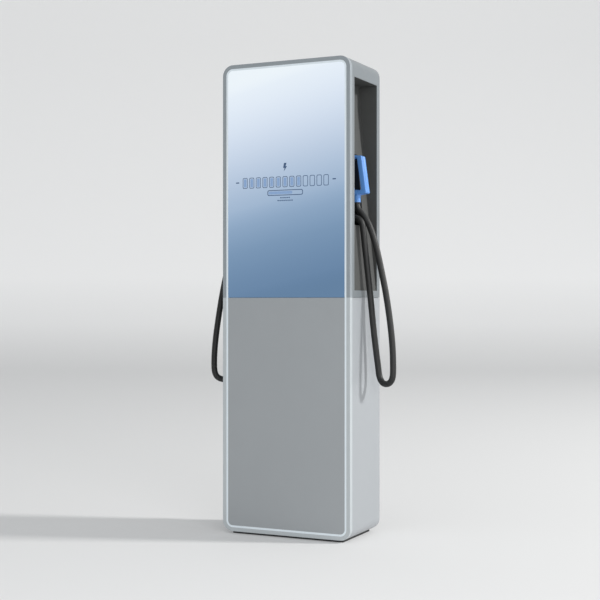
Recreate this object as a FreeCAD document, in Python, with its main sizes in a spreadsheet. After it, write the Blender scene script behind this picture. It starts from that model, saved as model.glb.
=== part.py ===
"""A DC charging post: a slim cabinet with a lit front, a connector niche on each side
and a hinged service door at the back.  Millimetres, +Z up, front towards -Y, the
origin under the middle of the post."""
import math
import os
from types import SimpleNamespace

import FreeCAD
import Part
import Sketcher

V = FreeCAD.Vector
doc = FreeCAD.newDocument("charging_post")

# ---------------------------------------------------------------- sizes
SIZES = {
    # the cabinet's outline and its layers
    "post_wide": 596, "shell_high": 2000, "post_deep": 325, "corner_rad": 47,
    "shell_wall": 3, "seam_level": 1012, "seam_gap": 1.5,
    "ring_wide": 17, "ring_deep": 12, "ledge_wide": 32, "ledge_deep": 10, "edge_round": 2.5,
    "light_wide": 8.5, "light_sunk": 1, "fit_gap": 0.4, "led_wide": 5, "led_deep": 2.5,
    "glass_thick": 6, "gasket_wide": 4.5, "panel_wall": 2, "rail_high": 30,
    "screen_wide": 500, "screen_high": 900, "screen_deep": 18, "screen_foot": 20, "screen_gap": 1,
    "screen_rail": 6, "screen_lap": 12, "led_gap": 0.2,
    "strap_high": 49.5, "strap_thick": 3, "strap_end": 30,
    # the plinth under it
    "plinth_high": 10, "plinth_inset": 40, "anchor_rad": 7, "anchor_wide": 400, "anchor_deep": 200,
    "entry_wide": 200, "entry_deep": 110, "access_rad": 16,
    # the niche in each side
    "niche_front": 44.7, "niche_long": 250, "niche_low": 1042, "niche_high": 1927,
    "niche_depth": 80, "ramp_top": 1825, "ramp_lip": 4, "liner_wall": 3,
    "well_front": 113, "well_long": 106, "well_low": 1318, "well_high": 1624, "well_depth": 108,
    # the connector that hangs in it
    "handle_tilt": 8, "handle_level": 1532, "handle_back": 167, "handle_thick": 44,
    "handle_half": 80, "handle_rise": 14, "grip_thick": 22, "slot_wide": 44,
    "slot_low": 62, "slot_top": 75, "body_thick": 20, "handle_round": 4, "handle_corner": 6,
    "neck_rad": 16, "neck_inset": 40, "neck_low": 1416, "collar_rad": 15, "collar_high": 6,
    "nose_wide": 34, "nose_high": 78, "nose_long": 26, "nose_level": 26, "seat_gap": 1, "seat_deep": 20,
    "pin_rad": 2.5, "pin_long": 16, "pin_sunk": 2, "pin_ring": 9, "pin_room": 1, "pin_level": 22,
    "power_rad": 3.5, "power_room": 1.5, "power_apart": 17, "screw_rad": 2.2, "screw_high": 1.2,
    "body_bevel": 4, "body_foot": 6, "shell_seam": 0.2, "neck_long": 46, "neck_bore": 29,
    "socket_wall": 4, "socket_gap": 1, "socket_sunk": 3, "socket_room": 6,
    # the charging cable and its gland
    "cable_rad": 13.25, "gland_rad": 18, "gland_inset": 66, "gland_level": 1348.5,
    "gland_back": 150, "gland_long": 66, "gland_gap": 0.35, "tail_long": 85,
    "flange_lap": 4, "flange_thick": 6, "flange_gap": 0.3, "nut_long": 12,
    # the service door, its hinges and its locks
    "door_gap": 3, "door_deep": 15, "door_wall": 2, "strike_wide": 25, "strike_deep": 6,
    "seal_thick": 4.6, "seal_wide": 12,
    "seal_inset": 1,
    "hinge_off": 5.5, "knuckle_rad": 5.5, "hinge_half": 30, "hinge_pin_rad": 3,
    "hinge_gap": 0.25, "running_gap": 0.05, "leaf_wide": 40, "leaf_thick": 3,
    "lock_inset": 42, "lock_rad": 11, "plug_rad": 8, "cam_long": 32, "cam_wide": 18, "cam_thick": 3,
    "lock_long": 18, "lock_lip": 3, "lip_thick": 2, "plug_gap": 0.1, "plug_proud": 1.5, "cam_gap": 2,
    "key_wide": 2, "key_long": 10, "key_deep": 5.5, "stiff_low": 1180, "stiff_high": 1210, "stiff_deep": 12,
    # air: grilles, filter and fans on the door
    "vent_wide": 330, "intake_low": 120, "intake_high": 300, "exhaust_level": 1750,
    "exhaust_high": 140, "louvre_pitch": 20, "louvre_slant": 35, "fan_wide": 150, "fan_deep": 38,
    "fan_bore": 70, "fan_hub": 24, "fan_apart": 170, "blade_long": 46, "blade_wide": 26,
    "grille_lap": 8, "grille_land": 5, "grille_thick": 2, "slat_deep": 9, "slat_thick": 1.5, "slat_start": 10,
    "filter_lap": 5, "filter_thick": 10, "motor_long": 8, "strut_wide": 8, "strut_thick": 4,
    "rotor_gap": 10, "hub_long": 24, "blade_thick": 2, "blade_slant": 35, "blade_root": 3,
    # the equipment inside
    "post_tube": 25, "rack_half": 250, "rack_front": 48, "rack_back": 232, "rack_top": 985,
    "module_wide": 446, "module_high": 133, "module_deep": 200, "module_low": 70,
    "module_pitch": 215, "module_gap": 4, "module_play": 1, "shelf_thick": 4, "shelf_lap": 12,
    "bay_wide": 130, "bay_deep": 6, "bay_inset": 20,
    "pull_long": 120, "pull_deep": 12, "pull_thick": 8, "pull_wall": 5, "pull_level": 60,
    "plate_half": 138, "plate_thick": 3, "plate_back": 120, "plate_high": 900,
    "din_long": 260, "din_deep": 7, "din_level": 460, "din_high": 35,
    "board_wide": 220, "board_thick": 2, "board_level": 520, "board_high": 240, "chip_deep": 6,
    "spacer_rad": 4, "spacer_long": 6, "spacer_apart": 200, "spacer_rise": 220,
    "coil_wide": 70, "coil_deep": 70, "coil_level": 560, "coil_high": 120, "coil_apart": 140,
    "stud_rad": 7, "stud_long": 14, "stud_apart": 36, "stud_rise": 70, "stud_level": 25,
    "breaker_wide": 36, "breaker_deep": 68, "breaker_level": 430, "breaker_high": 90, "breaker_pitch": 40,
    "meter_wide": 120, "meter_deep": 60, "meter_level": 250, "meter_high": 130,
    "clamp_wide": 22, "clamp_deep": 45, "clamp_level": 90, "clamp_high": 60, "clamp_pitch": 24,
    "cover_lap": 12, "cover_thick": 3, "grommet_rad": 22, "grommet_bore": 17, "grommet_apart": 62,
    "grommet_long": 14, "rim_lap": 5, "rim_thick": 3,
}
HINGE_LEVELS = {"low": 260, "middle": 900, "high": 1720}
LOCK_LEVELS = {"lower": 330, "upper": 975}
MODULES = 4
BREAKERS = 6
CLAMPS = 8
GROMMETS = 3
FAN_BLADES = 7
# A cutting tool runs past the face that it opens by this much.
PAST = 1

sheet = doc.addObject("Spreadsheet::Sheet", "Sizes")
for row, (alias, number) in enumerate(SIZES.items(), start=1):
    sheet.set(f"A{row}", alias)
    sheet.set(f"B{row}", str(number))
    sheet.setAlias(f"B{row}", alias)
doc.recompute()


class Size:
    """A length known twice: as a number, and as the sheet expression it comes from."""

    def __init__(self, number, text):
        self.number = number
        self.text = text

    def __add__(self, other):
        other = as_size(other)
        return Size(self.number + other.number, f"({self.text} + {other.text})")

    def __sub__(self, other):
        other = as_size(other)
        return Size(self.number - other.number, f"({self.text} - {other.text})")

    def __mul__(self, other):
        other = as_size(other)
        return Size(self.number * other.number, f"({self.text} * {other.text})")

    def __truediv__(self, other):
        other = as_size(other)
        return Size(self.number / other.number, f"({self.text} / {other.text})")

    def __neg__(self):
        return Size(-self.number, f"(0 - {self.text})")

    __radd__ = __add__

    def __rsub__(self, other):
        return as_size(other) - self

    __rmul__ = __mul__


def as_size(value):
    return value if isinstance(value, Size) else Size(float(value), f"{float(value):.6f}")


def cosine(angle):
    return Size(math.cos(math.radians(angle.number)), f"cos({angle.text} * 1 deg)")


def sine(angle):
    return Size(math.sin(math.radians(angle.number)), f"sin({angle.text} * 1 deg)")


S = SimpleNamespace(**{alias: Size(float(number), f"Sizes.{alias}")
                       for alias, number in SIZES.items()})

# ---------------------------------------------------------------- shared places
HINGE_PROUD = S.hinge_off + S.knuckle_rad
FRONT = -(S.post_deep + HINGE_PROUD) / 2
REAR = FRONT + S.post_deep
MIDDLE = (FRONT + REAR) / 2
HALF = S.post_wide / 2
LOW = S.plinth_high
HIGH = S.plinth_high + S.shell_high
LEDGE = FRONT + S.ring_deep
BACK_OF_LEDGE = LEDGE + S.ledge_deep
INSIDE = HALF - S.shell_wall
FACE = FRONT + S.light_sunk
FILL_INSET = S.ring_wide + S.light_wide + S.fit_gap
NICHE_FRONT = FRONT + S.niche_front
NICHE_BACK = NICHE_FRONT + S.niche_long
RAMP_SLOPE = (S.niche_depth - S.ramp_lip) / (S.ramp_top - S.niche_low)
WELL_FLOOR = HALF - S.well_depth
STRIKE_BACK = REAR - S.door_deep - S.seal_thick - S.fit_gap
STRIKE_FRONT = STRIKE_BACK - S.strike_deep
HINGE_X = -(INSIDE - S.door_gap)
HINGE_Y = REAR + S.hinge_off
LOCK_X = HALF - S.lock_inset
FLOOR = LOW + S.shell_wall
OUT_X = cosine(S.handle_tilt)
OUT_Z = sine(S.handle_tilt)


def ramp_depth(level):
    """How far the niche's sloping wall lies behind the side face at a level."""
    return S.ramp_lip + (level - S.niche_low) * RAMP_SLOPE


# ---------------------------------------------------------------- tools of the trade
def bind(piece, **cells):
    for name, value in cells.items():
        piece.setExpression(name, as_size(value).text)


def place(piece, x, y, z, turn=None, about=None):
    if turn is not None:
        piece.Placement = FreeCAD.Placement(V(0, 0, 0), FreeCAD.Rotation(about, as_size(turn).number))
    for axis, value in zip("xyz", (x, y, z)):
        piece.setExpression(f"Placement.Base.{axis}", as_size(value).text)
    return piece


def block(name, x, y, z):
    """A box from its (low, high) pairs along X, Y and Z."""
    piece = doc.addObject("Part::Box", name)
    bind(piece, Length=x[1] - x[0], Width=y[1] - y[0], Height=z[1] - z[0])
    return place(piece, x[0], y[0], z[0])


TURNS = {"x": (90, V(0, 1, 0)), "y": (-90, V(1, 0, 0)), "z": (0, V(0, 0, 1))}


def rod(name, along, radius, length, x, y, z):
    """A cylinder that starts at a point and runs along +X, +Y, +Z or the pull-out axis."""
    piece = doc.addObject("Part::Cylinder", name)
    bind(piece, Radius=radius, Height=length)
    turn, about = TURNS[along] if along in TURNS else (90 - S.handle_tilt, V(0, 1, 0))
    return place(piece, x, y, z, turn, about)


def cut(name, base, tools):
    tool = tools[0]
    if len(tools) > 1:
        tool = doc.addObject("Part::MultiFuse", name + "_tools")
        tool.Shapes = tools
    piece = doc.addObject("Part::Cut", name)
    piece.Base = base
    piece.Tool = tool
    return piece


def fuse(name, shapes):
    piece = doc.addObject("Part::MultiFuse", name)
    piece.Shapes = shapes
    piece.Refine = True
    return piece


def group(name, shapes):
    """Separate solids that share one node."""
    piece = doc.addObject("Part::Compound", name)
    piece.Links = shapes
    return piece


def mirrored(name, source):
    piece = doc.addObject("Part::Mirroring", name)
    piece.Source = source
    piece.Normal = V(1, 0, 0)
    piece.Base = V(0, 0, 0)
    return piece


def origin_plane(body, role):
    return next(item for item in body.Origin.OriginFeatures if item.Role == role)


def pin_point(sketch, line, end, x, z):
    for kind, value in (("DistanceX", x), ("DistanceY", z)):
        index = sketch.addConstraint(Sketcher.Constraint(kind, -1, 1, line, end, value.number))
        sketch.setExpression(f"Constraints[{index}]", value.text)


def draw_polygon(sketch, corners):
    corners = [(as_size(x), as_size(z)) for x, z in corners]
    first = sketch.GeometryCount
    for (x0, z0), (x1, z1) in zip(corners, corners[1:] + corners[:1]):
        sketch.addGeometry(Part.LineSegment(V(x0.number, z0.number, 0), V(x1.number, z1.number, 0)))
    for number, (x, z) in enumerate(corners):
        pin_point(sketch, first + number, 1, x, z)
        before = first + (number - 1) % len(corners)
        sketch.addConstraint(Sketcher.Constraint("Coincident", before, 2, first + number, 1))


def draw_outline(sketch, half, low, high, low_rad, high_rad):
    """A rectangle, symmetric about Z, with its own radius at the foot and at the head."""
    half, low, high, low_rad, high_rad = [as_size(item) for item in (half, low, high, low_rad, high_rad)]
    if low_rad.number == 0 and high_rad.number == 0:
        draw_polygon(sketch, [(-half, low), (half, low), (half, high), (-half, high)])
        return
    corners = [(1, low, low_rad, -90), (1, high, high_rad, 0),
               (-1, high, high_rad, 90), (-1, low, low_rad, 180)]
    arrivals, departures, centres = [], [], []
    for side, level, radius, start in corners:
        inward = radius if level is low else -radius
        upright = (half * side, level + inward)
        level_run = (half * side - radius * side, level)
        arrives, leaves = (level_run, upright) if start in (-90, 90) else (upright, level_run)
        arrivals.append(arrives)
        departures.append(leaves)
        centres.append((half * side - radius * side, level + inward))
    lines = []
    for number, arrives in enumerate(arrivals):
        begin = departures[number - 1]
        line = sketch.addGeometry(Part.LineSegment(V(begin[0].number, begin[1].number, 0),
                                                   V(arrives[0].number, arrives[1].number, 0)))
        pin_point(sketch, line, 1, *begin)
        pin_point(sketch, line, 2, *arrives)
        lines.append(line)
    for number, (_side, _level, radius, start) in enumerate(corners):
        if radius.number == 0:
            continue
        centre = centres[number]
        circle = Part.Circle(V(centre[0].number, centre[1].number, 0), V(0, 0, 1), radius.number)
        arc = sketch.addGeometry(Part.ArcOfCircle(circle, math.radians(start), math.radians(start + 90)))
        sketch.addConstraint(Sketcher.Constraint("Coincident", arc, 1, lines[number], 2))
        sketch.addConstraint(Sketcher.Constraint("Coincident", arc, 2, lines[(number + 1) % 4], 1))
        index = sketch.addConstraint(Sketcher.Constraint("Radius", arc, radius.number))
        sketch.setExpression(f"Constraints[{index}]", radius.text)


def upright_sketch(body, name, y):
    """A sketch on the upright plane at a depth y, its normal towards the front."""
    sketch = body.newObject("Sketcher::SketchObject", name)
    sketch.AttachmentSupport = (origin_plane(body, "XZ_Plane"), [""])
    sketch.MapMode = "FlatFace"
    sketch.setExpression("AttachmentOffset.Base.z", (-as_size(y)).text)
    return sketch


def inset_outline(inset, low=None, high=None, low_rad=None, high_rad=None):
    """The post's outline drawn in by an inset, or cut short at a level with square corners."""
    radius = S.corner_rad - inset
    return (HALF - inset, LOW + inset if low is None else low, HIGH - inset if high is None else high,
            radius if low_rad is None else low_rad, radius if high_rad is None else high_rad)


def pad(body, name, y_from, y_to, draw):
    sketch = upright_sketch(body, name + "_sketch", y_to)
    draw(sketch)
    feature = body.newObject("PartDesign::Pad", name)
    feature.Profile = sketch
    bind(feature, Length=as_size(y_to) - y_from)
    return feature


def pocket(body, name, y_from, y_to, draw):
    """Cuts from y_from back to y_to."""
    sketch = upright_sketch(body, name + "_sketch", y_from)
    draw(sketch)
    feature = body.newObject("PartDesign::Pocket", name)
    feature.Profile = sketch
    bind(feature, Length=as_size(y_to) - y_from)
    return feature


def plate(name, y_from, y_to, *outlines):
    """A body padded from one sketch: an outline, or a ring when two are given."""
    body = doc.addObject("PartDesign::Body", name)

    def draw(sketch):
        for outline in outlines:
            draw_outline(sketch, *outline)
    pad(body, name + "_pad", y_from, y_to, draw)
    return body


def round_edges(body, radius, wanted):
    """Fillets the edges of a body's last feature that a test picks."""
    doc.recompute()
    tip = body.Tip
    names = [f"Edge{number}" for number, edge in enumerate(tip.Shape.Edges, start=1) if wanted(edge)]
    feature = body.newObject("PartDesign::Fillet", body.Name + "_round")
    feature.Base = (tip, names)
    bind(feature, Radius=radius)
    return feature


nodes = {}


def keep(name, piece):
    piece.Label = name
    nodes[name] = piece
    return piece


def keep_pair(name, right):
    """The right-hand piece and its mirror image, as one node of two solids."""
    return keep(name, group(name, [right, mirrored(right.Name + "_mirrored", right)]))


# ---------------------------------------------------------------- plinth and shells
def anchor_rods(name, radius, low, high):
    return [rod(f"{name}_{side}{end}", "z", radius, high - low, S.anchor_wide / 2 * side,
                MIDDLE + S.anchor_deep / 2 * end, low) for side in (-1, 1) for end in (-1, 1)]


def entry_block(name, low, high):
    return block(name, (-S.entry_wide / 2, S.entry_wide / 2),
                 (MIDDLE - S.entry_deep / 2, MIDDLE + S.entry_deep / 2), (low, high))


def make_plinth():
    foot = S.plinth_inset
    base = block("plinth_plate", (-(HALF - foot), HALF - foot),
                 (FRONT + foot / 2, REAR - foot / 2), (as_size(0), LOW))
    holes = anchor_rods("anchor_hole", S.anchor_rad, as_size(-PAST), LOW + PAST)
    entry = entry_block("plinth_entry", as_size(-PAST), LOW + PAST)
    keep("base_plinth", cut("base_plinth", base, holes + [entry]))


def shell_layer(name, outer, inner):
    """One half of the folded skin: an outline padded from the front ledge to the back, hollowed."""
    layer = plate(f"{name}_body", BACK_OF_LEDGE, REAR, outer)
    pocket(layer, f"{name}_hollow", BACK_OF_LEDGE - PAST, REAR + PAST,
           lambda sketch: draw_outline(sketch, *inner))
    return layer


def make_shells():
    under_seam = S.seam_level - S.seam_gap / 2
    over_seam = S.seam_level + S.seam_gap / 2
    lower = shell_layer("lower_shell", inset_outline(as_size(0), high=under_seam, high_rad=0),
                        inset_outline(S.shell_wall, high=under_seam + PAST, high_rad=0))
    holes = anchor_rods("access_hole", S.access_rad, LOW - PAST, FLOOR + PAST)
    entry = entry_block("shell_entry", LOW - PAST, FLOOR + PAST)
    keep("shell_lower", cut("shell_lower", lower, holes + [entry]))
    upper = shell_layer("upper_shell", inset_outline(as_size(0), low=over_seam, low_rad=0),
                        inset_outline(S.shell_wall, low=over_seam - PAST, low_rad=0))
    opening = block("niche_opening", (-HALF - PAST, HALF + PAST), (NICHE_FRONT, NICHE_BACK),
                    (S.niche_low, S.niche_high))
    keep("shell_upper", cut("shell_upper", upper, [opening]))
    straps = [block(f"seam_strap_{side}", edge, (BACK_OF_LEDGE, REAR - S.door_deep - S.strap_end),
                    (S.seam_level - S.strap_high / 2, S.seam_level + S.strap_high / 2))
              for side, edge in (("left", (-INSIDE, -INSIDE + S.strap_thick)),
                                 ("right", (INSIDE - S.strap_thick, INSIDE)))]
    keep("seam_straps", group("seam_straps", straps))


# ---------------------------------------------------------------- the lit front
def make_bezel(groove):
    bezel = plate("bezel_body", FRONT, LEDGE, inset_outline(as_size(0)), inset_outline(S.ring_wide))
    ledge = (inset_outline(as_size(0)), inset_outline(S.ledge_wide))
    pad(bezel, "bezel_ledge", LEDGE, BACK_OF_LEDGE,
        lambda sketch: [draw_outline(sketch, *each) for each in ledge])
    pocket(bezel, "led_groove", LEDGE, LEDGE + S.led_deep,
           lambda sketch: [draw_outline(sketch, *each) for each in groove])

    def outer_rim(edge):
        box = edge.BoundBox
        at_front = abs(box.YMin - FRONT.number) < 0.01 and abs(box.YMax - FRONT.number) < 0.01
        at_side = max(abs(box.XMin), abs(box.XMax)) > HALF.number - 0.01
        at_end = box.ZMin < LOW.number + 0.01 or box.ZMax > HIGH.number - 0.01
        return at_front and (at_side or at_end)
    round_edges(bezel, S.edge_round, outer_rim)
    keep("bezel_frame", bezel)


def make_light():
    led_edge = S.ring_wide + (S.light_wide - S.led_wide) / 2
    groove = (inset_outline(led_edge), inset_outline(led_edge + S.led_wide))
    make_bezel(groove)
    keep("led_strip", plate("led_strip", LEDGE + S.led_gap, LEDGE + S.led_deep, *groove))
    keep("light_guide", plate("light_guide", FACE, LEDGE, inset_outline(S.ring_wide + S.fit_gap / 2),
                              inset_outline(S.ring_wide + S.light_wide)))


def make_glass(glass_back, glass_low):
    keep("display_glass", plate("display_glass", FACE, glass_back,
                                inset_outline(FILL_INSET, low=glass_low, low_rad=0)))
    seal_in = S.ledge_wide - S.gasket_wide
    seal_low = glass_low + S.screen_gap
    keep("glass_gasket", plate("glass_gasket", glass_back, LEDGE,
                               inset_outline(seal_in, low=seal_low, low_rad=0),
                               inset_outline(S.ledge_wide, low=seal_low + S.gasket_wide, low_rad=0)))


def make_screen(glass_back):
    low = S.seam_level + S.rail_high / 2 + S.screen_foot
    high = low + S.screen_high
    front = glass_back + S.screen_gap
    keep("display_panel", block("display_panel", (-S.screen_wide / 2, S.screen_wide / 2),
                                (front, front + S.screen_deep), (low, high)))
    outer = HALF - S.ledge_wide + S.screen_lap
    rails = [block(f"screen_rail_{side}", edge, (BACK_OF_LEDGE, BACK_OF_LEDGE + S.screen_rail), (low, high))
             for side, edge in (("left", (-outer, -S.screen_wide / 2)), ("right", (S.screen_wide / 2, outer)))]
    keep("display_rails", group("display_rails", rails))


def make_front():
    make_light()
    keep("mid_rail", block("mid_rail", (-(HALF - S.ledge_wide), HALF - S.ledge_wide), (LEDGE, BACK_OF_LEDGE),
                           (S.seam_level - S.rail_high / 2, S.seam_level + S.rail_high / 2)))
    glass_back = FACE + S.glass_thick
    make_glass(glass_back, S.seam_level + S.seam_gap / 2)
    under_seam = S.seam_level - S.seam_gap / 2
    panel = plate("lower_front_body", FACE, LEDGE, inset_outline(FILL_INSET, high=under_seam, high_rad=0))
    fold = FILL_INSET + S.panel_wall
    pocket(panel, "lower_front_hollow", FACE + S.panel_wall, LEDGE,
           lambda sketch: draw_outline(sketch, *inset_outline(
               fold, high=under_seam - S.panel_wall, high_rad=0)))
    keep("lower_front_panel", panel)
    make_screen(glass_back)


# ---------------------------------------------------------------- the niche and its holster
def wedge_body(name, y_from, y_to, corners, hollow, hollow_from, hollow_to):
    body = doc.addObject("PartDesign::Body", name)
    pad(body, name + "_pad", y_from, y_to, lambda sketch: draw_polygon(sketch, corners))
    pocket(body, name + "_pocket", hollow_from, hollow_to, lambda sketch: draw_polygon(sketch, hollow))
    return body


def gland_rod(name, radius, start, length):
    """A cylinder on the gland's axis; start is measured outwards from the gland's mouth."""
    return rod(name, "out", radius, length, HALF - S.gland_inset + OUT_X * start, FRONT + S.gland_back,
               S.gland_level + OUT_Z * start)


def make_niche():
    wall = S.liner_wall
    deep = HALF - S.niche_depth
    lip = HALF - S.ramp_lip
    sill = HALF - ramp_depth(S.niche_low - wall) - wall
    outer = [(INSIDE, S.niche_low - wall), (sill, S.niche_low - wall), (deep - wall, S.ramp_top),
             (deep - wall, S.niche_high + wall), (INSIDE, S.niche_high + wall)]
    inner = [(HALF + PAST, S.niche_low), (lip, S.niche_low), (deep, S.ramp_top), (deep, S.niche_high),
             (HALF + PAST, S.niche_high)]
    liner = wedge_body("niche_liner", NICHE_FRONT - wall, NICHE_BACK + wall, outer, inner,
                       NICHE_FRONT, NICHE_BACK)
    well_y = (FRONT + S.well_front, FRONT + S.well_front + S.well_long)
    window = block("well_window", (deep - wall - PAST, HALF + PAST), well_y, (S.well_low, S.well_high))
    keep("niche_right", cut("niche_right", liner, [window]))
    low, high = S.well_low - wall, S.well_high + wall
    back_low, back_high = [HALF - ramp_depth(level) - wall for level in (low, high)]
    well_outer = [(WELL_FLOOR - wall, low), (back_low, low), (back_high, high),
                  (WELL_FLOOR - wall, high)]
    well_inner = [(WELL_FLOOR, S.well_low), (HALF, S.well_low), (HALF, S.well_high),
                  (WELL_FLOOR, S.well_high)]
    well = wedge_body("well_tray", well_y[0] - wall, well_y[1] + wall, well_outer, well_inner, *well_y)
    passage = gland_rod("gland_passage", S.gland_rad, -S.well_depth, S.well_depth - S.grip_thick)
    nose_hole = nose_block("nose_hole", S.socket_wall + S.socket_gap, -S.well_depth - S.nose_high,
                           -S.grip_thick - S.slot_wide)
    keep_pair("holster_wells", cut("holster_well", well, [passage, nose_hole]))


# ---------------------------------------------------------------- the connector
HANDLE_X = HALF
HANDLE_Y = FRONT + S.handle_back
NECK_X = HALF - S.neck_inset
BODY_OUT = -(S.grip_thick + S.slot_wide)
BODY_IN = BODY_OUT - S.body_thick
SHOULDER = S.handle_half + S.handle_rise


def in_hand(piece, out, back, up, turn=None, about=None):
    """Places a piece by the handle's own axes: out of the niche, back and up the grip."""
    x = HANDLE_X + OUT_X * out - OUT_Z * up
    z = S.handle_level + OUT_Z * out + OUT_X * up
    turn, about = (-S.handle_tilt, V(0, 1, 0)) if turn is None else (turn, about)
    return place(piece, x, HANDLE_Y + back, z, turn, about)


def hand_block(name, out, back, up):
    piece = doc.addObject("Part::Box", name)
    bind(piece, Length=out[1] - out[0], Width=back[1] - back[0], Height=up[1] - up[0])
    return in_hand(piece, out[0], back[0], up[0])


def hand_rod(name, radius, out, back, up):
    """A cylinder along the pull-out axis between two depths."""
    piece = doc.addObject("Part::Cylinder", name)
    bind(piece, Radius=radius, Height=out[1] - out[0])
    return in_hand(piece, out[0], back, up, 90 - S.handle_tilt, V(0, 1, 0))


def nose_block(name, grow, out_from, out_to):
    """The mating face's outline, a round over a slot, grown by a wall and taken along the axis."""
    radius = S.nose_wide / 2 + grow
    flat = S.nose_high / 2 - S.nose_wide / 2
    shapes = [hand_rod(f"{name}_{end}", radius, (out_from, out_to), as_size(0), flat * sign + S.nose_level)
              for end, sign in (("low", -1), ("high", 1))]
    shapes.append(hand_block(f"{name}_waist", (out_from, out_to), (-radius, radius),
                             (S.nose_level - flat, flat + S.nose_level)))
    return fuse(name, shapes)


def make_handle():
    body = doc.addObject("PartDesign::Body", "handle_loop")
    place(body, HANDLE_X, HANDLE_Y, S.handle_level, -S.handle_tilt, V(0, 1, 0))
    outline = [(0, -S.handle_half), (0, S.handle_half), (BODY_OUT + S.body_bevel, SHOULDER),
               (BODY_IN, SHOULDER), (BODY_IN, -S.slot_low - S.body_foot),
               (BODY_OUT + S.body_foot, -S.handle_half)]
    half = S.handle_thick / 2
    pad(body, "handle_pad", -half, half, lambda sketch: draw_polygon(sketch, outline))
    slot = [(-S.grip_thick, -S.slot_low), (-S.grip_thick, S.slot_top),
            (BODY_OUT, S.slot_top + S.body_bevel), (BODY_OUT, -S.slot_low)]
    pocket(body, "finger_slot", -half - PAST, half + PAST, lambda sketch: draw_polygon(sketch, slot))

    def across(edge):
        return edge.BoundBox.YLength > S.handle_thick.number - 1
    round_edges(body, S.handle_corner, across)

    def round_a_face(edge):
        return edge.BoundBox.YLength < 0.01
    round_edges(body, S.handle_round, round_a_face)
    neck = rod("neck", "z", S.neck_rad, S.neck_long, NECK_X, HANDLE_Y, S.neck_low)
    neck_bore = rod("neck_bore", "z", S.cable_rad, S.neck_bore + PAST, NECK_X, HANDLE_Y, S.neck_low - PAST)
    half_seat = S.nose_wide / 2 + S.seat_gap
    tall_seat = S.nose_high / 2 + S.seat_gap
    nose_seat = hand_block("nose_seat", (BODY_IN - PAST, BODY_IN + S.seat_deep), (-half_seat, half_seat),
                           (S.nose_level - tall_seat, S.nose_level + tall_seat))
    whole = cut("handle_whole", fuse("handle_with_neck", [body, neck]), [neck_bore, nose_seat])
    near = (HANDLE_X - S.well_depth - S.nose_high, HANDLE_X + S.nose_high)
    tall = (S.handle_level - S.handle_half * 2, S.handle_level + S.handle_half * 2)
    seam = S.shell_seam / 2
    halves = (("front", (HANDLE_Y - S.handle_thick, HANDLE_Y - seam)),
              ("rear", (HANDLE_Y + seam, HANDLE_Y + S.handle_thick)))
    for name, depth in halves:
        shell = doc.addObject("Part::Common", f"handle_shell_{name}_right")
        shell.Base = whole
        shell.Tool = block(f"handle_{name}_room", near, depth, tall)
        keep(f"handle_shell_{name}_right", shell)


def make_contacts(nose):
    """Seven signal pins in a ring over two power pins, each standing in its own bore."""
    tip = BODY_IN - S.nose_long
    ring = [(0, 0, 1)] + [(math.cos(math.radians(60 * k)), math.sin(math.radians(60 * k)), 0.7)
                          for k in range(6)]
    bores, pins = [], []
    for number, (back, up, share) in enumerate(ring):
        back = S.pin_ring * back
        up = S.pin_ring * up + S.nose_level + S.pin_level
        bores.append(hand_rod(f"pin_bore_{number}", S.pin_rad + S.pin_room, (tip - PAST, tip + S.pin_long),
                              back, up))
        pins.append(hand_rod(f"pin_{number}", S.pin_rad * share, (tip + S.pin_sunk, tip + S.pin_long),
                             back, up))
    for side in (-1, 1):
        back = S.power_apart / 2 * side
        up = S.nose_level - S.pin_level
        bores.append(hand_rod(f"power_bore_{side}", S.power_rad + S.power_room,
                              (tip - PAST, tip + S.pin_long), back, up))
        pins.append(hand_rod(f"power_pin_{side}", S.power_rad, (tip + S.pin_sunk, tip + S.pin_long), back, up))
    keep("connector_nose_right", cut("connector_nose_right", nose, bores))
    keep("contact_pins_right", group("contact_pins_right", pins))


def make_connector():
    make_handle()
    make_contacts(nose_block("nose_core", as_size(0), BODY_IN - S.nose_long, BODY_IN + S.seat_deep - 0.1))
    low = S.neck_low - S.collar_high
    collar = rod("collar_body", "z", S.collar_rad, S.collar_high, NECK_X, HANDLE_Y, low)
    bore = rod("collar_bore", "z", S.cable_rad, S.collar_high + 2 * PAST, NECK_X, HANDLE_Y, low - PAST)
    keep("cable_collar_right", cut("cable_collar_right", collar, [bore]))
    on_grip, on_body = -S.grip_thick / 2, BODY_OUT - S.body_thick * 0.55
    places = ((on_grip, 10 - S.handle_half), (on_grip, S.handle_half - 10),
              (on_body, SHOULDER - 10), (on_body, 10 - S.slot_low))
    screws = []
    for number, (out, up) in enumerate(places):
        screw = doc.addObject("Part::Cylinder", f"handle_screw_{number}")
        bind(screw, Radius=S.screw_rad, Height=S.screw_high)
        screws.append(in_hand(screw, out, S.handle_thick / 2, up, -90, V(1, 0, 0)))
    keep("handle_screws_right", group("handle_screws_right", screws))


def make_holster():
    socket_out = BODY_IN - S.socket_sunk
    socket_in = BODY_IN - S.nose_long - S.socket_room
    outer = nose_block("socket_outer", S.socket_wall + S.socket_gap, socket_in, socket_out)
    bore = nose_block("socket_bore", S.socket_gap, socket_in + S.socket_wall, socket_out + PAST)
    keep_pair("holster_sockets", cut("holster_socket", outer, [bore]))
    gland = gland_rod("gland_body", S.gland_rad, -S.gland_long, S.gland_long)
    to_floor = -(S.well_depth - S.gland_inset) / OUT_X
    lip_rad = S.gland_rad + S.flange_lap
    swing = lip_rad * OUT_Z + S.flange_gap
    flange = gland_rod("gland_flange", lip_rad, to_floor + swing, S.flange_thick)
    nut = gland_rod("gland_nut", lip_rad, to_floor - S.liner_wall - swing - S.nut_long, S.nut_long)
    gland_bore = gland_rod("gland_bore", S.cable_rad + S.gland_gap, -S.gland_long - PAST,
                           S.gland_long + 2 * PAST)
    keep_pair("cable_glands", cut("cable_gland", fuse("gland_outer", [gland, flange, nut]), [gland_bore]))


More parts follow.
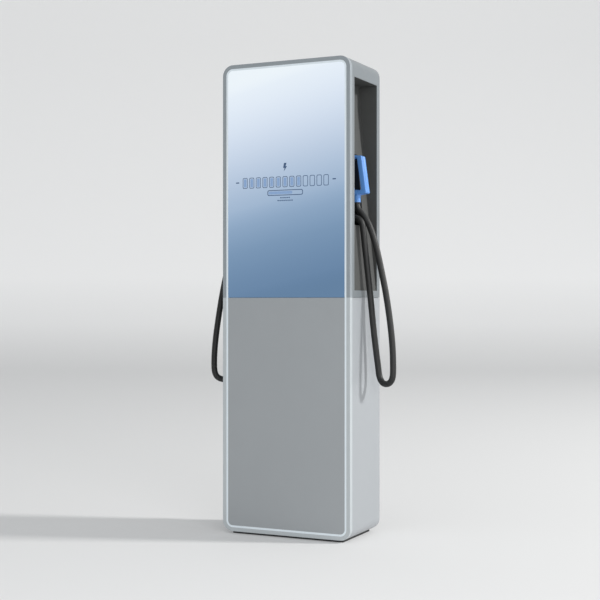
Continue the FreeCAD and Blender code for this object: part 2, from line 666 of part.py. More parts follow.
# ---------------------------------------------------------------- the charging cable
# Each point: how far outside the side face, how far behind the front, and its level.
CABLE_ROUTE = [
    (-66, 150, 1348.5), (-43, 150, 1351.73), (-22.5, 150, 1343.5), (-9, 150, 1326),
    (-3.5, 150, 1288), (4, 150, 1222),
    (15, 150, 1135), (27, 153, 1020), (36, 164, 885), (43, 176, 790), (49, 184, 725),
    (54, 186, 676), (74, 177, 649.5), (106, 164, 649.5), (128, 155, 674), (129, 154, 740),
    (124.5, 157, 820), (111.5, 161, 920), (93, 164, 1030), (69.5, 166, 1135), (50, 167, 1218),
    (30, 167, 1283), (10, 167, 1331), (-14, 167, 1364), (-40, 167, 1392), (-40, 167, 1416),
]
ARC_SHARE = 0.45


def bent_path(points):
    """Straight runs joined by tangent arcs, each as large as its two runs allow."""
    edges, radii, start = [], [], points[0]
    for before, corner, after in zip(points, points[1:], points[2:]):
        back, ahead = before - corner, after - corner
        half_turn = (math.pi - back.getAngle(ahead)) / 2
        reach = ARC_SHARE * min(back.Length, ahead.Length)
        radii.append(reach / math.tan(half_turn))
        arrive = corner + back.normalize() * reach
        leave = corner + ahead.normalize() * reach
        bisector = (back + ahead).normalize()
        middle = corner + bisector * (radii[-1] / math.cos(half_turn) - radii[-1])
        edges.append(Part.LineSegment(start, arrive).toShape())
        edges.append(Part.Arc(arrive, middle, leave).toShape())
        start = leave
    edges.append(Part.LineSegment(start, points[-1]).toShape())
    return Part.Wire(edges), radii


def make_cable():
    points = [V(HALF.number + out, FRONT.number + back, level) for out, back, level in CABLE_ROUTE]
    path, radii = bent_path(points)
    radius = S.cable_rad.number
    ring = Part.Wire(Part.makeCircle(radius, points[0], points[1] - points[0]))
    tube = path.makePipeShell([ring], True, False)
    section = math.pi * radius ** 2
    print(f"cable: {path.Length:.0f} mm,"
          f" volume over section x length {tube.Volume / (section * path.Length):.4f}")
    print("cable radii:", " ".join(f"{item:.0f}" for item in radii))
    cable = doc.addObject("Part::Feature", "cable_right")
    cable.Shape = tube
    keep("cable_right", cable)
    tail = gland_rod("cable_tail_right", S.cable_rad, -S.tail_long, S.tail_long)
    keep("cable_tail_right", tail)


# ---------------------------------------------------------------- the service door
def make_door_frame():
    frame = plate("door_frame_ring", STRIKE_FRONT, STRIKE_BACK,
                  inset_outline(S.shell_wall), inset_outline(S.strike_wide))
    behind_niche = NICHE_BACK + S.liner_wall + S.fit_gap
    inner = HALF - S.niche_depth - S.liner_wall - S.fit_gap
    reliefs = [block(f"niche_relief_{side}", edge, (NICHE_FRONT, behind_niche),
                     (S.niche_low - S.liner_wall - S.fit_gap, S.niche_high + S.liner_wall + S.fit_gap))
               for side, edge in (("left", (-HALF, -inner)), ("right", (inner, HALF)))]
    keep("door_frame", cut("door_frame", frame, reliefs))
    seal_in = S.shell_wall + S.seal_inset
    keep("door_seal", plate("door_seal", STRIKE_BACK, STRIKE_BACK + S.seal_thick,
                            inset_outline(seal_in), inset_outline(seal_in + S.seal_wide)))


def make_door():
    edge = S.shell_wall + S.door_gap
    door = plate("door_pan", REAR - S.door_deep, REAR, inset_outline(edge))
    pocket(door, "door_hollow", REAR - S.door_deep - PAST, REAR - S.door_wall,
           lambda sketch: draw_outline(sketch, *inset_outline(edge + S.door_wall)))
    through = (REAR - S.door_wall - PAST, REAR + PAST)
    vent_half = S.vent_wide / 2
    cuts = [block("intake_hole", (-vent_half, vent_half), through, (S.intake_low, S.intake_high)),
            block("exhaust_hole", (-vent_half, vent_half), through,
                  (S.exhaust_level - S.exhaust_high / 2, S.exhaust_level + S.exhaust_high / 2))]
    for name, level in LOCK_LEVELS.items():
        cuts.append(rod(f"lock_hole_{name}", "y", S.lock_rad, S.door_wall + 2 * PAST, LOCK_X, through[0],
                        as_size(level)))
    for name, level in HINGE_LEVELS.items():
        room = S.hinge_half + 2
        cuts.append(block(f"hinge_notch_{name}", (-HALF, HINGE_X + 4), (REAR - S.door_deep - PAST, REAR + PAST),
                          (level - room, level + room)))
    stiffener = block("door_stiffener", (HINGE_X + S.leaf_wide, LOCK_X - S.lock_rad * 2 - 8),
                      (REAR - S.door_wall - S.stiff_deep, REAR - S.door_wall), (S.stiff_low, S.stiff_high))
    keep("rear_door", fuse("rear_door", [cut("door_with_holes", door, cuts), stiffener]))


def make_hinges():
    blocks, pins, leaves = [], [], []
    half, gap = S.hinge_half, S.hinge_gap
    for name, level in HINGE_LEVELS.items():
        low, high = level - half, level + half
        fixed = fuse(f"fixed_{name}", [
            block(f"fixed_block_{name}", (-INSIDE, HINGE_X - PAST), (REAR - S.door_deep + 3, REAR + 3),
                  (low, level - gap)),
            rod(f"fixed_knuckle_{name}", "z", S.knuckle_rad, half - gap, HINGE_X, HINGE_Y, low)])
        blocks.append(cut(f"hinge_block_{name}", fixed, [
            rod(f"fixed_bore_{name}", "z", S.hinge_pin_rad, half + PAST, HINGE_X, HINGE_Y, low + 2)]))
        pins.append(rod(f"hinge_pin_{name}", "z", S.hinge_pin_rad, half * 2 - 8, HINGE_X, HINGE_Y, low + 2))
        moving = fuse(f"moving_{name}", [
            block(f"moving_leaf_{name}", (HINGE_X, HINGE_X + S.leaf_wide), (REAR, REAR + S.leaf_thick),
                  (level + gap, high)),
            rod(f"moving_knuckle_{name}", "z", S.knuckle_rad, half - gap, HINGE_X, HINGE_Y, level + gap)])
        leaves.append(cut(f"hinge_leaf_{name}", moving, [
            rod(f"moving_bore_{name}", "z", S.hinge_pin_rad + S.running_gap, half - 4, HINGE_X, HINGE_Y,
                level - gap)]))
    keep("hinge_blocks", group("hinge_blocks", blocks))
    keep("hinge_pins", group("hinge_pins", pins))
    keep("hinge_leaves", group("hinge_leaves", leaves))


def make_locks():
    housings = []
    cam_back = STRIKE_FRONT - S.cam_gap
    for name, level in LOCK_LEVELS.items():
        level = as_size(level)
        outer = fuse(f"lock_outer_{name}", [
            rod(f"lock_tube_{name}", "y", S.lock_rad, S.lock_long, LOCK_X, REAR - S.lock_long, level),
            rod(f"lock_flange_{name}", "y", S.lock_rad + S.lock_lip, S.lip_thick, LOCK_X, REAR, level)])
        housings.append(cut(f"lock_housing_{name}", outer, [
            rod(f"lock_bore_{name}", "y", S.plug_rad + S.plug_gap, S.lock_long + S.lip_thick + 2 * PAST,
                LOCK_X, REAR - S.lock_long - PAST, level)]))
        plug_end = REAR + S.plug_proud
        plug = rod(f"plug_{name}", "y", S.plug_rad, plug_end - cam_back, LOCK_X, cam_back, level)
        key = block(f"key_slot_{name}", (LOCK_X - S.key_wide / 2, LOCK_X + S.key_wide / 2),
                    (plug_end - S.key_deep, plug_end + PAST), (level - S.key_long / 2, level + S.key_long / 2))
        cam = block(f"cam_tongue_{name}", (LOCK_X - S.cam_wide / 2, LOCK_X + S.cam_wide / 2),
                    (cam_back - S.cam_thick, cam_back), (level - S.cam_long, level + S.cam_wide / 2))
        keep(f"lock_cam_{name}", fuse(f"lock_cam_{name}", [cut(f"keyed_plug_{name}", plug, [key]), cam]))
    keep("lock_housings", group("lock_housings", housings))


def make_grille(name, low, high):
    half, lap, land = S.vent_wide / 2, S.grille_lap, S.grille_land
    rim = block(f"{name}_rim", (-half - lap, half + lap), (REAR, REAR + S.grille_thick), (low - lap, high + lap))
    window = block(f"{name}_window", (-half + land, half - land), (REAR - PAST, REAR + S.grille_thick + PAST),
                   (low + land, high - land))
    pieces = [cut(f"{name}_frame", rim, [window])]
    count = int((high.number - low.number - S.slat_start.number - 4) // S.louvre_pitch.number)
    for number in range(count + 1):
        slat = doc.addObject("Part::Box", f"{name}_slat_{number}")
        bind(slat, Length=S.vent_wide - 8, Width=S.slat_deep, Height=S.slat_thick)
        pieces.append(place(slat, -half + 4, REAR + 0.5, low + S.slat_start + S.louvre_pitch * number,
                            -S.louvre_slant, V(1, 0, 0)))
    keep(name, fuse(name, pieces))


def make_filter():
    half, lap = S.vent_wide / 2 + S.filter_lap, S.filter_lap
    back = REAR - S.door_wall
    keep("filter_mat", block("filter_mat", (-half, half), (back - S.filter_thick, back),
                             (S.intake_low - lap, S.intake_high + lap)))


def make_rotor(name, x, front):
    rotor = doc.addObject("PartDesign::Body", f"fan_rotor_{name}")
    place(rotor, x, front + S.rotor_gap, S.exhaust_level)
    hub = rotor.newObject("PartDesign::AdditiveCylinder", f"rotor_hub_{name}")
    bind(hub, Radius=S.fan_hub, Height=S.hub_long)
    hub.Placement = FreeCAD.Placement(V(0, 0, 0), FreeCAD.Rotation(V(1, 0, 0), -90))
    blade = rotor.newObject("PartDesign::AdditiveBox", f"rotor_blade_{name}")
    bind(blade, Length=S.blade_long, Width=S.blade_wide, Height=S.blade_thick)
    slant = FreeCAD.Rotation(V(1, 0, 0), S.blade_slant.number)
    root = S.fan_hub.number - S.blade_root.number
    blade.Placement = FreeCAD.Placement(V(root, 1.5, -7), slant)
    wheel = rotor.newObject("PartDesign::PolarPattern", f"rotor_blades_{name}")
    wheel.Originals = [blade]
    wheel.Axis = (origin_plane(rotor, "Y_Axis"), [""])
    wheel.Angle = 360
    wheel.Occurrences = FAN_BLADES
    rotor.Tip = wheel
    keep(f"fan_rotor_{name}", rotor)


def make_fans():
    frames = []
    half = S.fan_wide / 2
    back = REAR - S.door_wall
    front = back - S.fan_deep
    level = S.exhaust_level
    strut = (front, front + S.strut_thick)
    for name, side in (("left", -1), ("right", 1)):
        x = S.fan_apart / 2 * side
        box = block(f"fan_box_{name}", (x - half, x + half), (front, back), (level - half, level + half))
        ring = cut(f"fan_ring_{name}", box, [
            rod(f"fan_bore_{name}", "y", S.fan_bore, S.fan_deep + 2 * PAST, x, front - PAST, level)])
        motor = rod(f"fan_motor_{name}", "y", S.fan_hub, S.motor_long, x, front, level)
        reach, slim = half - 2, S.strut_wide / 2
        struts = [block(f"fan_strut_a_{name}", (x - reach, x + reach), strut, (level - slim, level + slim)),
                  block(f"fan_strut_b_{name}", (x - slim, x + slim), strut, (level - reach, level + reach))]
        frames.append(fuse(f"fan_frame_{name}", [ring, motor] + struts))
        make_rotor(name, x, front)
    keep("fan_frames", group("fan_frames", frames))


# ---------------------------------------------------------------- equipment inside
def make_rack():
    tube = S.post_tube
    front = (FRONT + S.rack_front, FRONT + S.rack_front + tube)
    back = (FRONT + S.rack_back, FRONT + S.rack_back + tube)
    run = (front[0], back[1])
    half, inner = S.rack_half, S.module_wide / 2 - S.shelf_lap
    columns = ((-half, -half + tube), (half - tube, half))
    shelves = ((-half + 4, -inner), (inner, half - 4))
    ends = (("foot", FLOOR), ("head", S.rack_top - tube))
    pieces = []
    for number, (across, shelf) in enumerate(zip(columns, shelves)):
        for end, depth in enumerate((front, back)):
            pieces.append(block(f"rack_post_{number}{end}", across, depth, (FLOOR, S.rack_top)))
        for level, low in ends:
            pieces.append(block(f"rack_side_{level}_{number}", across, run, (low, low + tube)))
        for module in range(MODULES):
            top = S.module_low + S.module_pitch * module
            pieces.append(block(f"rack_shelf_{number}{module}", shelf, run, (top - S.shelf_thick, top)))
    under_plate = FRONT + S.plate_back - tube / 2
    depths = (back, (under_plate, under_plate + tube))
    for (level, low), depth in zip(ends, depths):
        pieces.append(block(f"rack_cross_{level}", (-half, half), depth, (low, low + tube)))
    keep("rack_frame", fuse("rack_frame", pieces))


def make_modules():
    front = FRONT + S.rack_front + S.module_gap
    back = front + S.module_deep
    half = S.module_wide / 2 - S.module_play
    modules = []
    for module in range(MODULES):
        low = S.module_low + S.module_pitch * module
        high = low + S.module_high
        case = block(f"module_case_{module}", (-half, half), (front, back), (low, high))
        bays = []
        for side in (-1, 1):
            middle = S.module_wide / 3 * side
            bays.append(block(f"module_vent_{module}_{side}",
                              (middle - S.bay_wide / 2, middle + S.bay_wide / 2),
                              (back - S.bay_deep, back + PAST), (low + S.bay_inset, high - S.bay_inset)))
        reach, grip = S.pull_long / 2, low + S.pull_level
        bar = block(f"pull_bar_{module}", (-reach, reach), (back, back + S.pull_deep),
                    (grip, grip + S.pull_thick))
        room = block(f"pull_room_{module}", (-reach + 8, reach - 8),
                     (back - PAST, back + S.pull_deep - S.pull_wall), (grip - PAST, grip + S.pull_thick + PAST))
        pull = cut(f"module_pull_{module}", bar, [room])
        modules.append(fuse(f"module_{module}", [cut(f"module_body_{module}", case, bays), pull]))
    keep("power_modules", group("power_modules", modules))


def make_board(front, low):
    """The control board on its spacers: chips are (x, z, side) from the board's middle foot."""
    board_low = low + S.board_level
    board_front = front - S.spacer_long - S.board_thick
    board = block("board", (-S.board_wide / 2, S.board_wide / 2), (board_front, front - S.spacer_long),
                  (board_low, board_low + S.board_high))
    middle = board_low + S.board_high / 2
    spacers = [rod(f"board_spacer_{side}{end}", "y", S.spacer_rad, S.spacer_long, S.spacer_apart / 2 * side,
                   front - S.spacer_long, middle + S.spacer_rise / 2 * end)
               for side in (-1, 1) for end in (-1, 1)]
    chips = []
    for number, (x, z, wide) in enumerate(((-90, 30, 50), (0, 40, 36), (50, 150, 44), (-80, 160, 30))):
        chips.append(block(f"chip_{number}", (as_size(x), as_size(x + wide)),
                           (board_front - S.chip_deep, board_front), (board_low + z, board_low + z + wide)))
    keep("control_board", fuse("control_board", [board] + spacers + chips))


def make_contactors(back, low):
    contactors = []
    coil_low = low + S.coil_level
    half = S.coil_wide / 2
    for name, side in (("left", -1), ("right", 1)):
        x = S.coil_apart / 2 * side
        coil = block(f"coil_{name}", (x - half, x + half), (back, back + S.coil_deep),
                     (coil_low, coil_low + S.coil_high))
        studs = [rod(f"stud_{name}_{end}{row}", "y", S.stud_rad, S.stud_long, x + S.stud_apart / 2 * end,
                     back + S.coil_deep, coil_low + S.stud_level + S.stud_rise * row)
                 for end in (-1, 1) for row in (0, 1)]
        contactors.append(fuse(f"contactor_{name}", [coil] + studs))
    keep("contactors", group("contactors", contactors))


def row_of(name, count, pitch, wide, depth, low, high):
    """Equal blocks side by side, centred on the post."""
    first = -(pitch * (count - 1) + wide) / 2
    return [block(f"{name}_{number}", (first + pitch * number, first + pitch * number + wide), depth,
                  (low, high)) for number in range(count)]


def make_controls():
    front = FRONT + S.plate_back
    back = front + S.plate_thick
    low = S.rack_top
    sheet_metal = block("plate_sheet", (-S.plate_half, S.plate_half), (front, back),
                        (low, low + S.plate_high))
    rail_low = low + S.din_level
    rail = block("din_rail_bar", (-S.din_long / 2, S.din_long / 2), (back, back + S.din_deep),
                 (rail_low, rail_low + S.din_high))
    keep("mounting_plate", fuse("mounting_plate", [sheet_metal, rail]))
    make_board(front, low)
    make_contactors(back, low)
    on_rail = back + S.din_deep
    breaker_low = low + S.breaker_level
    keep("circuit_breakers", group("circuit_breakers", row_of(
        "breaker", BREAKERS, S.breaker_pitch, S.breaker_wide, (on_rail, on_rail + S.breaker_deep),
        breaker_low, breaker_low + S.breaker_high)))
    meter_low = low + S.meter_level
    keep("energy_meter", block("energy_meter", (-S.meter_wide / 2, S.meter_wide / 2),
                               (back, back + S.meter_deep), (meter_low, meter_low + S.meter_high)))
    clamp_low = low + S.clamp_level
    keep("supply_terminals", group("supply_terminals", row_of(
        "terminal", CLAMPS, S.clamp_pitch, S.clamp_wide, (back, back + S.clamp_deep),
        clamp_low, clamp_low + S.clamp_high)))


def make_cable_entry():
    wide, deep = S.entry_wide / 2 + S.cover_lap, S.entry_deep / 2 + S.cover_lap
    cover = block("entry_cover", (-wide, wide), (MIDDLE - deep, MIDDLE + deep), (FLOOR, FLOOR + S.cover_thick))
    foot = FLOOR - S.cover_thick
    holes, rings = [], []
    for number in range(GROMMETS):
        x = S.grommet_apart * (number - (GROMMETS - 1) / 2)
        holes.append(rod(f"entry_hole_{number}", "z", S.grommet_rad, S.cover_thick * 3, x, MIDDLE, foot))
        ring = fuse(f"grommet_outer_{number}", [
            rod(f"grommet_tube_{number}", "z", S.grommet_rad, S.grommet_long, x, MIDDLE, foot),
            rod(f"grommet_rim_{number}", "z", S.grommet_rad + S.rim_lap, S.rim_thick, x, MIDDLE,
                FLOOR + S.cover_thick)])
        rings.append(cut(f"grommet_{number}", ring, [
            rod(f"grommet_bore_{number}", "z", S.grommet_bore, S.grommet_long + 2 * PAST, x, MIDDLE,
                foot - PAST)]))
    keep("cable_entry_plate", cut("cable_entry_plate", cover, holes))
    keep("entry_grommets", group("entry_grommets", rings))


def mirror_right_to_left():
    """The left-hand niche, connector and cable are mirror images of the right-hand ones."""
    for name in [item for item in nodes if item.endswith("_right") and not item.startswith("fan")]:
        twin = name.replace("_right", "_left")
        keep(twin, mirrored(twin, nodes[name]))


def write_parts():
    doc.recompute()
    for item in doc.Objects:
        if "Invalid" in item.State or "Error" in item.State:
            raise RuntimeError(f"{item.Label}: {item.State}")
    os.makedirs("parts", exist_ok=True)
    for name, piece in nodes.items():
        shape = piece.Shape
        if shape.isNull() or not shape.isValid() or not shape.Solids:
            raise RuntimeError(f"{name}: no valid solid")
        shape.exportStep(f"parts/{name}.step")
        print(f"{name}: {len(shape.Solids)} solid, {shape.Volume / 1000:.1f} cm3")
    print(len(nodes), "nodes")


make_plinth()
make_shells()
make_front()
make_niche()
make_connector()
make_holster()
make_cable()
make_door_frame()
make_door()
make_hinges()
make_locks()
make_grille("intake_grille", S.intake_low, S.intake_high)
make_grille("exhaust_grille", S.exhaust_level - S.exhaust_high / 2, S.exhaust_level + S.exhaust_high / 2)
make_filter()
make_fans()
make_rack()
make_modules()
make_controls()
make_cable_entry()
mirror_right_to_left()
write_parts()
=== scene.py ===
# %% [markdown]
# # A fast charging post for electric cars
# The post is a slim steel cabinet: a lit glass front, a plain panel below it, a dark niche in each
# side with a blue connector and its looped cable, and a service door at the back.  The machine
# itself arrives ready made, in metres, with its real joints.  This lesson gives it a camera, light,
# honest materials, and the soft or moulded pieces that a mesh shows better than a machined solid.

# %% Load the frame
import bpy
import bmesh
import math
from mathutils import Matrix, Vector


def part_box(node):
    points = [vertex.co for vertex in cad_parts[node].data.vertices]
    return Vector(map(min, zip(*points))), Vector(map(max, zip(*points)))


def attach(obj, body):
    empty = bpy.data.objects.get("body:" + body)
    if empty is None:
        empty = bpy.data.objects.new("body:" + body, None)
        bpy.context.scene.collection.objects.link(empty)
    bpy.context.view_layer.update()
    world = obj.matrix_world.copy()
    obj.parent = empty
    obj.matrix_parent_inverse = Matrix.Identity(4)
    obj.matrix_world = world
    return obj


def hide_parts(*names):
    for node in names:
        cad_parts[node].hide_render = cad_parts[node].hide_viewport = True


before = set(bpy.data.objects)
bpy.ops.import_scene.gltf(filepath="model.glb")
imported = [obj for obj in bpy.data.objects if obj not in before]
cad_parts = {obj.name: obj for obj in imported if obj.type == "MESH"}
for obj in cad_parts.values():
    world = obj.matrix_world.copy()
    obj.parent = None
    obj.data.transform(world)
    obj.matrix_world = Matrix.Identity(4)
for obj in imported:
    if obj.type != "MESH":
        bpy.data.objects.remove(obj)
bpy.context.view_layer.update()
MM = 0.001

# %% [markdown]
# ## The camera
# A product picture of a two metre post is taken from a few metres away with a long lens, so that
# its edges stay nearly parallel.  The camera stands at half the post's height and looks level:
# a level camera keeps every upright edge upright.

# %% Camera
CAMERA_TURN = math.radians(25.356)
CAMERA_PLACE = Vector((2.3208, -4.9177, 1.0023))
LENS = 75.42

camera_data = bpy.data.cameras.new("camera")
camera_data.lens = LENS
camera = bpy.data.objects.new("camera", camera_data)
camera.location = CAMERA_PLACE
camera.rotation_euler = (math.radians(90), 0, CAMERA_TURN)
bpy.context.scene.collection.objects.link(camera)
bpy.context.scene.camera = camera
bpy.context.scene.view_settings.view_transform = "Standard"
print("camera:", round(CAMERA_PLACE.length, 2), "m from the foot of the post")

# %% [markdown]
# ## Colours and nodes
# Paint charts give colours as sRGB hex values, and shaders work in linear light, so one function
# turns the one into the other.  A second small function adds any shader node with its settings and
# its links, which keeps every material readable as a list of steps.


# %% Helpers for materials
def linear(hex_colour):
    """sRGB hex, such as 8fa6b4, to linear RGBA."""
    channels = [int(hex_colour[i:i + 2], 16) / 255 for i in (0, 2, 4)]
    return tuple(c / 12.92 if c <= 0.04045 else ((c + 0.055) / 1.055) ** 2.4
                 for c in channels) + (1.0,)


def add(tree, kind, links=None, **settings):
    """Adds a node: settings are its inputs or properties, links are input -> node output."""
    node = tree.nodes.new(kind)
    for key, value in settings.items():
        name = key.replace("_", " ")
        target = next((item for item in node.inputs if item.name.lower() == name.lower()), None)
        if target is not None:
            target.default_value = value
        else:
            setattr(node, key, value)
    for key, source in (links or {}).items():
        tree.links.new(source, node.inputs[key])
    return node


def finish_of(name, **settings):
    """A new material with one Principled shader, whose fixed values go on its own sockets."""
    material = bpy.data.materials.new(name)
    material.use_nodes = True
    tree = material.node_tree
    shader = tree.nodes["Principled BSDF"]
    for key, value in settings.items():
        wanted = key.replace("_", " ").lower()
        socket = next(item for item in shader.inputs if item.name.lower() == wanted)
        socket.default_value = value
    return material, tree, shader


def colour_ramp(tree, value, stops):
    """A ramp through (position, linear colour) stops, fed by a value from 0 to 1."""
    ramp = add(tree, "ShaderNodeValToRGB", {"Fac": value})
    while len(ramp.color_ramp.elements) < len(stops):
        ramp.color_ramp.elements.new(0.5)
    for element, (position, colour) in zip(ramp.color_ramp.elements, stops):
        element.position = position
        element.color = colour
    return ramp


def object_place(tree):
    """The surface point in the object's own metres: patterns hang on it at their real size."""
    return add(tree, "ShaderNodeTexCoord").outputs["Object"]


def speckle(tree, size_mm, detail):
    """Cloudy noise whose patches have a given size."""
    return add(tree, "ShaderNodeTexNoise", {"Vector": object_place(tree)}, scale=1000 / size_mm,
               detail=detail)


def grain(tree, shader, size_mm, depth_mm, detail=2.0):
    """A fine all-over relief, such as orange peel or spark-eroded texture."""
    noise = speckle(tree, size_mm, detail)
    bump = add(tree, "ShaderNodeBump", {"Height": noise.outputs["Fac"]}, strength=0.35,
               distance=depth_mm * MM)
    tree.links.new(bump.outputs["Normal"], shader.inputs["Normal"])


def uneven(tree, shader, socket, size_mm, low, high):
    """Lets a roughness wander between two values over patches of a given size."""
    noise = speckle(tree, size_mm, 4.0)
    spread = add(tree, "ShaderNodeMapRange", {"Value": noise.outputs["Fac"]}, to_min=low,
                 to_max=high)
    tree.links.new(spread.outputs["Result"], shader.inputs[socket])


def two_shades(tree, shader, pale, dark, factor):
    """Colours a surface between two shades by a pattern's value."""
    mix = add(tree, "ShaderNodeMix", {"Factor": factor}, data_type="RGBA")
    mix.inputs["A"].default_value = linear(dark)
    mix.inputs["B"].default_value = linear(pale)
    tree.links.new(mix.outputs["Result"], shader.inputs["Base Color"])


def tinted(tree, shader, pale, dark, size_mm):
    """Two close shades of one colour, drifting over patches of a given size."""
    two_shades(tree, shader, pale, dark, speckle(tree, size_mm, 5.0).outputs["Fac"])


print("helpers ready")

# %% [markdown]
# ## Studio: a pale sweep and soft light
# A sweep is a floor that curves up into a wall, so that no horizon shows.  White paper under many
# lamps looks the same all over, and a little glow of its own stands in for the lamps that are not
# here.  One far lamp on the right throws the long pale shadow to the left.

# %% Floor and wall
SWEEP_HALF = 60.0
SWEEP_FRONT = -90.0
SWEEP_BACK = 22.0
SWEEP_CURVE = 10.0
SWEEP_HIGH = 26.0
SWEEP_STEPS = 24
# The paper's own glow at each height, in metres.
PAPER_GLOWS = [(0.0, 0.12), (0.6, 0.25), (1.4, 0.33), (6.5, 0.29)]


def make_sweep():
    rows = [(SWEEP_FRONT, 0.0), (SWEEP_BACK - SWEEP_CURVE, 0.0)]
    for step in range(1, SWEEP_STEPS + 1):
        turn = math.pi / 2 * step / SWEEP_STEPS
        rows.append((SWEEP_BACK - SWEEP_CURVE + SWEEP_CURVE * math.sin(turn),
                     SWEEP_CURVE - SWEEP_CURVE * math.cos(turn)))
    rows.append((SWEEP_BACK, SWEEP_HIGH))
    points = [(side * SWEEP_HALF, y, z) for y, z in rows for side in (-1, 1)]
    faces = [(2 * i, 2 * i + 1, 2 * i + 3, 2 * i + 2) for i in range(len(rows) - 1)]
    mesh = bpy.data.meshes.new("sweep")
    mesh.from_pydata(points, [], faces)
    for face in mesh.polygons:
        face.use_smooth = True
    sweep = bpy.data.objects.new("sweep", mesh)
    sweep.rotation_euler = (0, 0, CAMERA_TURN)
    bpy.context.scene.collection.objects.link(sweep)
    paper, tree, shader = finish_of("matt_background_paper", base_color=linear("d2d2d2"),
                                    roughness=1.0, specular_ior_level=0.0, emission_strength=1.0)
    level = add(tree, "ShaderNodeSeparateXYZ", {"Vector": object_place(tree)}).outputs["Z"]
    top = PAPER_GLOWS[-1][0]
    climb = add(tree, "ShaderNodeMapRange", {"Value": level}, from_min=0.0, from_max=top)
    ramp = colour_ramp(tree, climb.outputs["Result"],
                       [(height / top, (glow, glow, glow, 1)) for height, glow in PAPER_GLOWS])
    tree.links.new(ramp.outputs["Color"], shader.inputs["Emission Color"])
    mesh.materials.append(paper)


make_sweep()
world = bpy.data.worlds.new("studio")
bpy.context.scene.world = world
world.use_nodes = True
room_light = world.node_tree.nodes["Background"]
room_light.inputs["Color"].default_value = (0.95, 0.98, 1.0, 1)
room_light.inputs["Strength"].default_value = 0.55


# %% Lamps
def softbox(name, place, aim, wide, high, power, colour=(1, 1, 1)):
    lamp_data = bpy.data.lights.new(name, "AREA")
    lamp_data.shape = "RECTANGLE"
    lamp_data.size, lamp_data.size_y = wide, high
    lamp_data.energy = power
    lamp_data.color = colour
    lamp = bpy.data.objects.new(name, lamp_data)
    lamp.location = place
    lamp.rotation_euler = (Vector(aim) - Vector(place)).to_track_quat("-Z", "Y").to_euler()
    bpy.context.scene.collection.objects.link(lamp)


softbox("key_right", (12.2, 4.2, 8.0), (0, 0, 0.6), 1.6, 1.6, 1650, (1.0, 0.99, 0.97))
softbox("fill_front", (6.3, -7.0, 3.0), (0, 0, 1.0), 5.0, 4.0, 260)
softbox("bounce_low", (0.9, -2.6, 0.25), (0, 0, 0.3), 2.0, 0.4, 5)

# %% [markdown]
# ## The charging cables
# A fast-charging cable is as thick as a thumb: copper cores in a soft matt TPU jacket.  It hangs
# under its own weight from the gland to the connector's neck.  A NURBS curve with the same points
# as the machine's own cable gives one smooth line, and its round bevel the jacket.
# Each point carries the jacket's radius, which the bevel multiplies, so that the curve's own box is
# as large as the cable and no larger.

# %% Cable routes
HALF_WIDE = 298 * MM
FRONT_FACE = -168 * MM
CABLE_RADIUS = 13.25 * MM
CABLE_ROUTE = [
    (-66, 150, 1348.5), (-43, 150, 1351.73), (-22.5, 150, 1343.5), (-9, 150, 1326),
    (-3.5, 150, 1288), (4, 150, 1222),
    (15, 150, 1135), (27, 153, 1020), (36, 164, 885), (43, 176, 790), (49, 184, 725),
    (54, 186, 676), (74, 177, 649.5), (106, 164, 649.5), (128, 155, 674), (129, 154, 740),
    (124.5, 157, 820), (111.5, 161, 920), (93, 164, 1030), (69.5, 166, 1135), (50, 167, 1218),
    (30, 167, 1283), (10, 167, 1331), (-14, 167, 1364), (-40, 167, 1392), (-40, 167, 1416),
]


def cable_points(side):
    return [Vector((side * (HALF_WIDE + out * MM), FRONT_FACE + back * MM, level * MM))
            for out, back, level in CABLE_ROUTE]


def make_cable(side, name):
    points = cable_points(side)
    curve = bpy.data.curves.new(f"charging_cable_{name}", "CURVE")
    curve.dimensions = "3D"
    curve.bevel_depth = 1.0
    curve.bevel_resolution = 6
    curve.resolution_u = 10
    curve.use_fill_caps = True
    spline = curve.splines.new("NURBS")
    spline.points.add(len(points) - 1)
    for knot, place in zip(spline.points, points):
        knot.co = (*place, 1)
        knot.radius = CABLE_RADIUS
    spline.order_u = 3
    spline.use_endpoint_u = True
    cable = bpy.data.objects.new(f"charging_cable_{name}", curve)
    bpy.context.scene.collection.objects.link(cable)
    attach(cable, f"connector_{name}")
    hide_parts(f"cable_{name}")
    return cable


cables = {name: make_cable(side, name) for name, side in (("right", 1), ("left", -1))}

# %% [markdown]
# ## Painted steel
# Street cabinets are powder coated: a baked polyester skin, about 80 microns thick, that dries with a
# faint orange peel.  It looks even from afar and breaks up a reflection close by.  The lower shell
# and the lower half of the bezel wear the paler of two greys.


# %% Powder coats
def powder_coat(name, pale, dark, roughness):
    material, tree, shader = finish_of(name, roughness=roughness, coat_weight=0.15,
                                       coat_roughness=0.3)
    tinted(tree, shader, pale, dark, size_mm=260)
    uneven(tree, shader, "Roughness", 90, roughness - 0.04, roughness + 0.05)
    grain(tree, shader, size_mm=2.2, depth_mm=0.03)
    return material


pale_coat = powder_coat("powder_coat_pale_grey", "9ea2a6", "9a9ea2", 0.36)
mid_coat = powder_coat("powder_coat_mid_grey", "767c80", "72787c", 0.36)
panel_coat = powder_coat("powder_coat_panel_grey", "9ca0a3", "979b9e", 0.5)
# The plinth's near-black is partly its own black coat and partly painted shade: it stands for the dark
# shadow gap under the foot of the shell.
black_plinth_and_gap_shade = powder_coat("powder_coat_black_and_gap_shade", "1c1d1e", "161718", 0.6)


def two_tone_coat(name, upper, lower, seam_level):
    """One bezel, painted in two greys that meet at the seam."""
    material, tree, shader = finish_of(name, roughness=0.34, coat_weight=0.2, coat_roughness=0.25)
    level = add(tree, "ShaderNodeSeparateXYZ", {"Vector": object_place(tree)}).outputs["Z"]
    above = add(tree, "ShaderNodeMath", operation="GREATER_THAN")
    tree.links.new(level, above.inputs[0])
    above.inputs[1].default_value = seam_level
    two_shades(tree, shader, upper, lower, above.outputs[0])
    grain(tree, shader, size_mm=1.8, depth_mm=0.02)
    return material


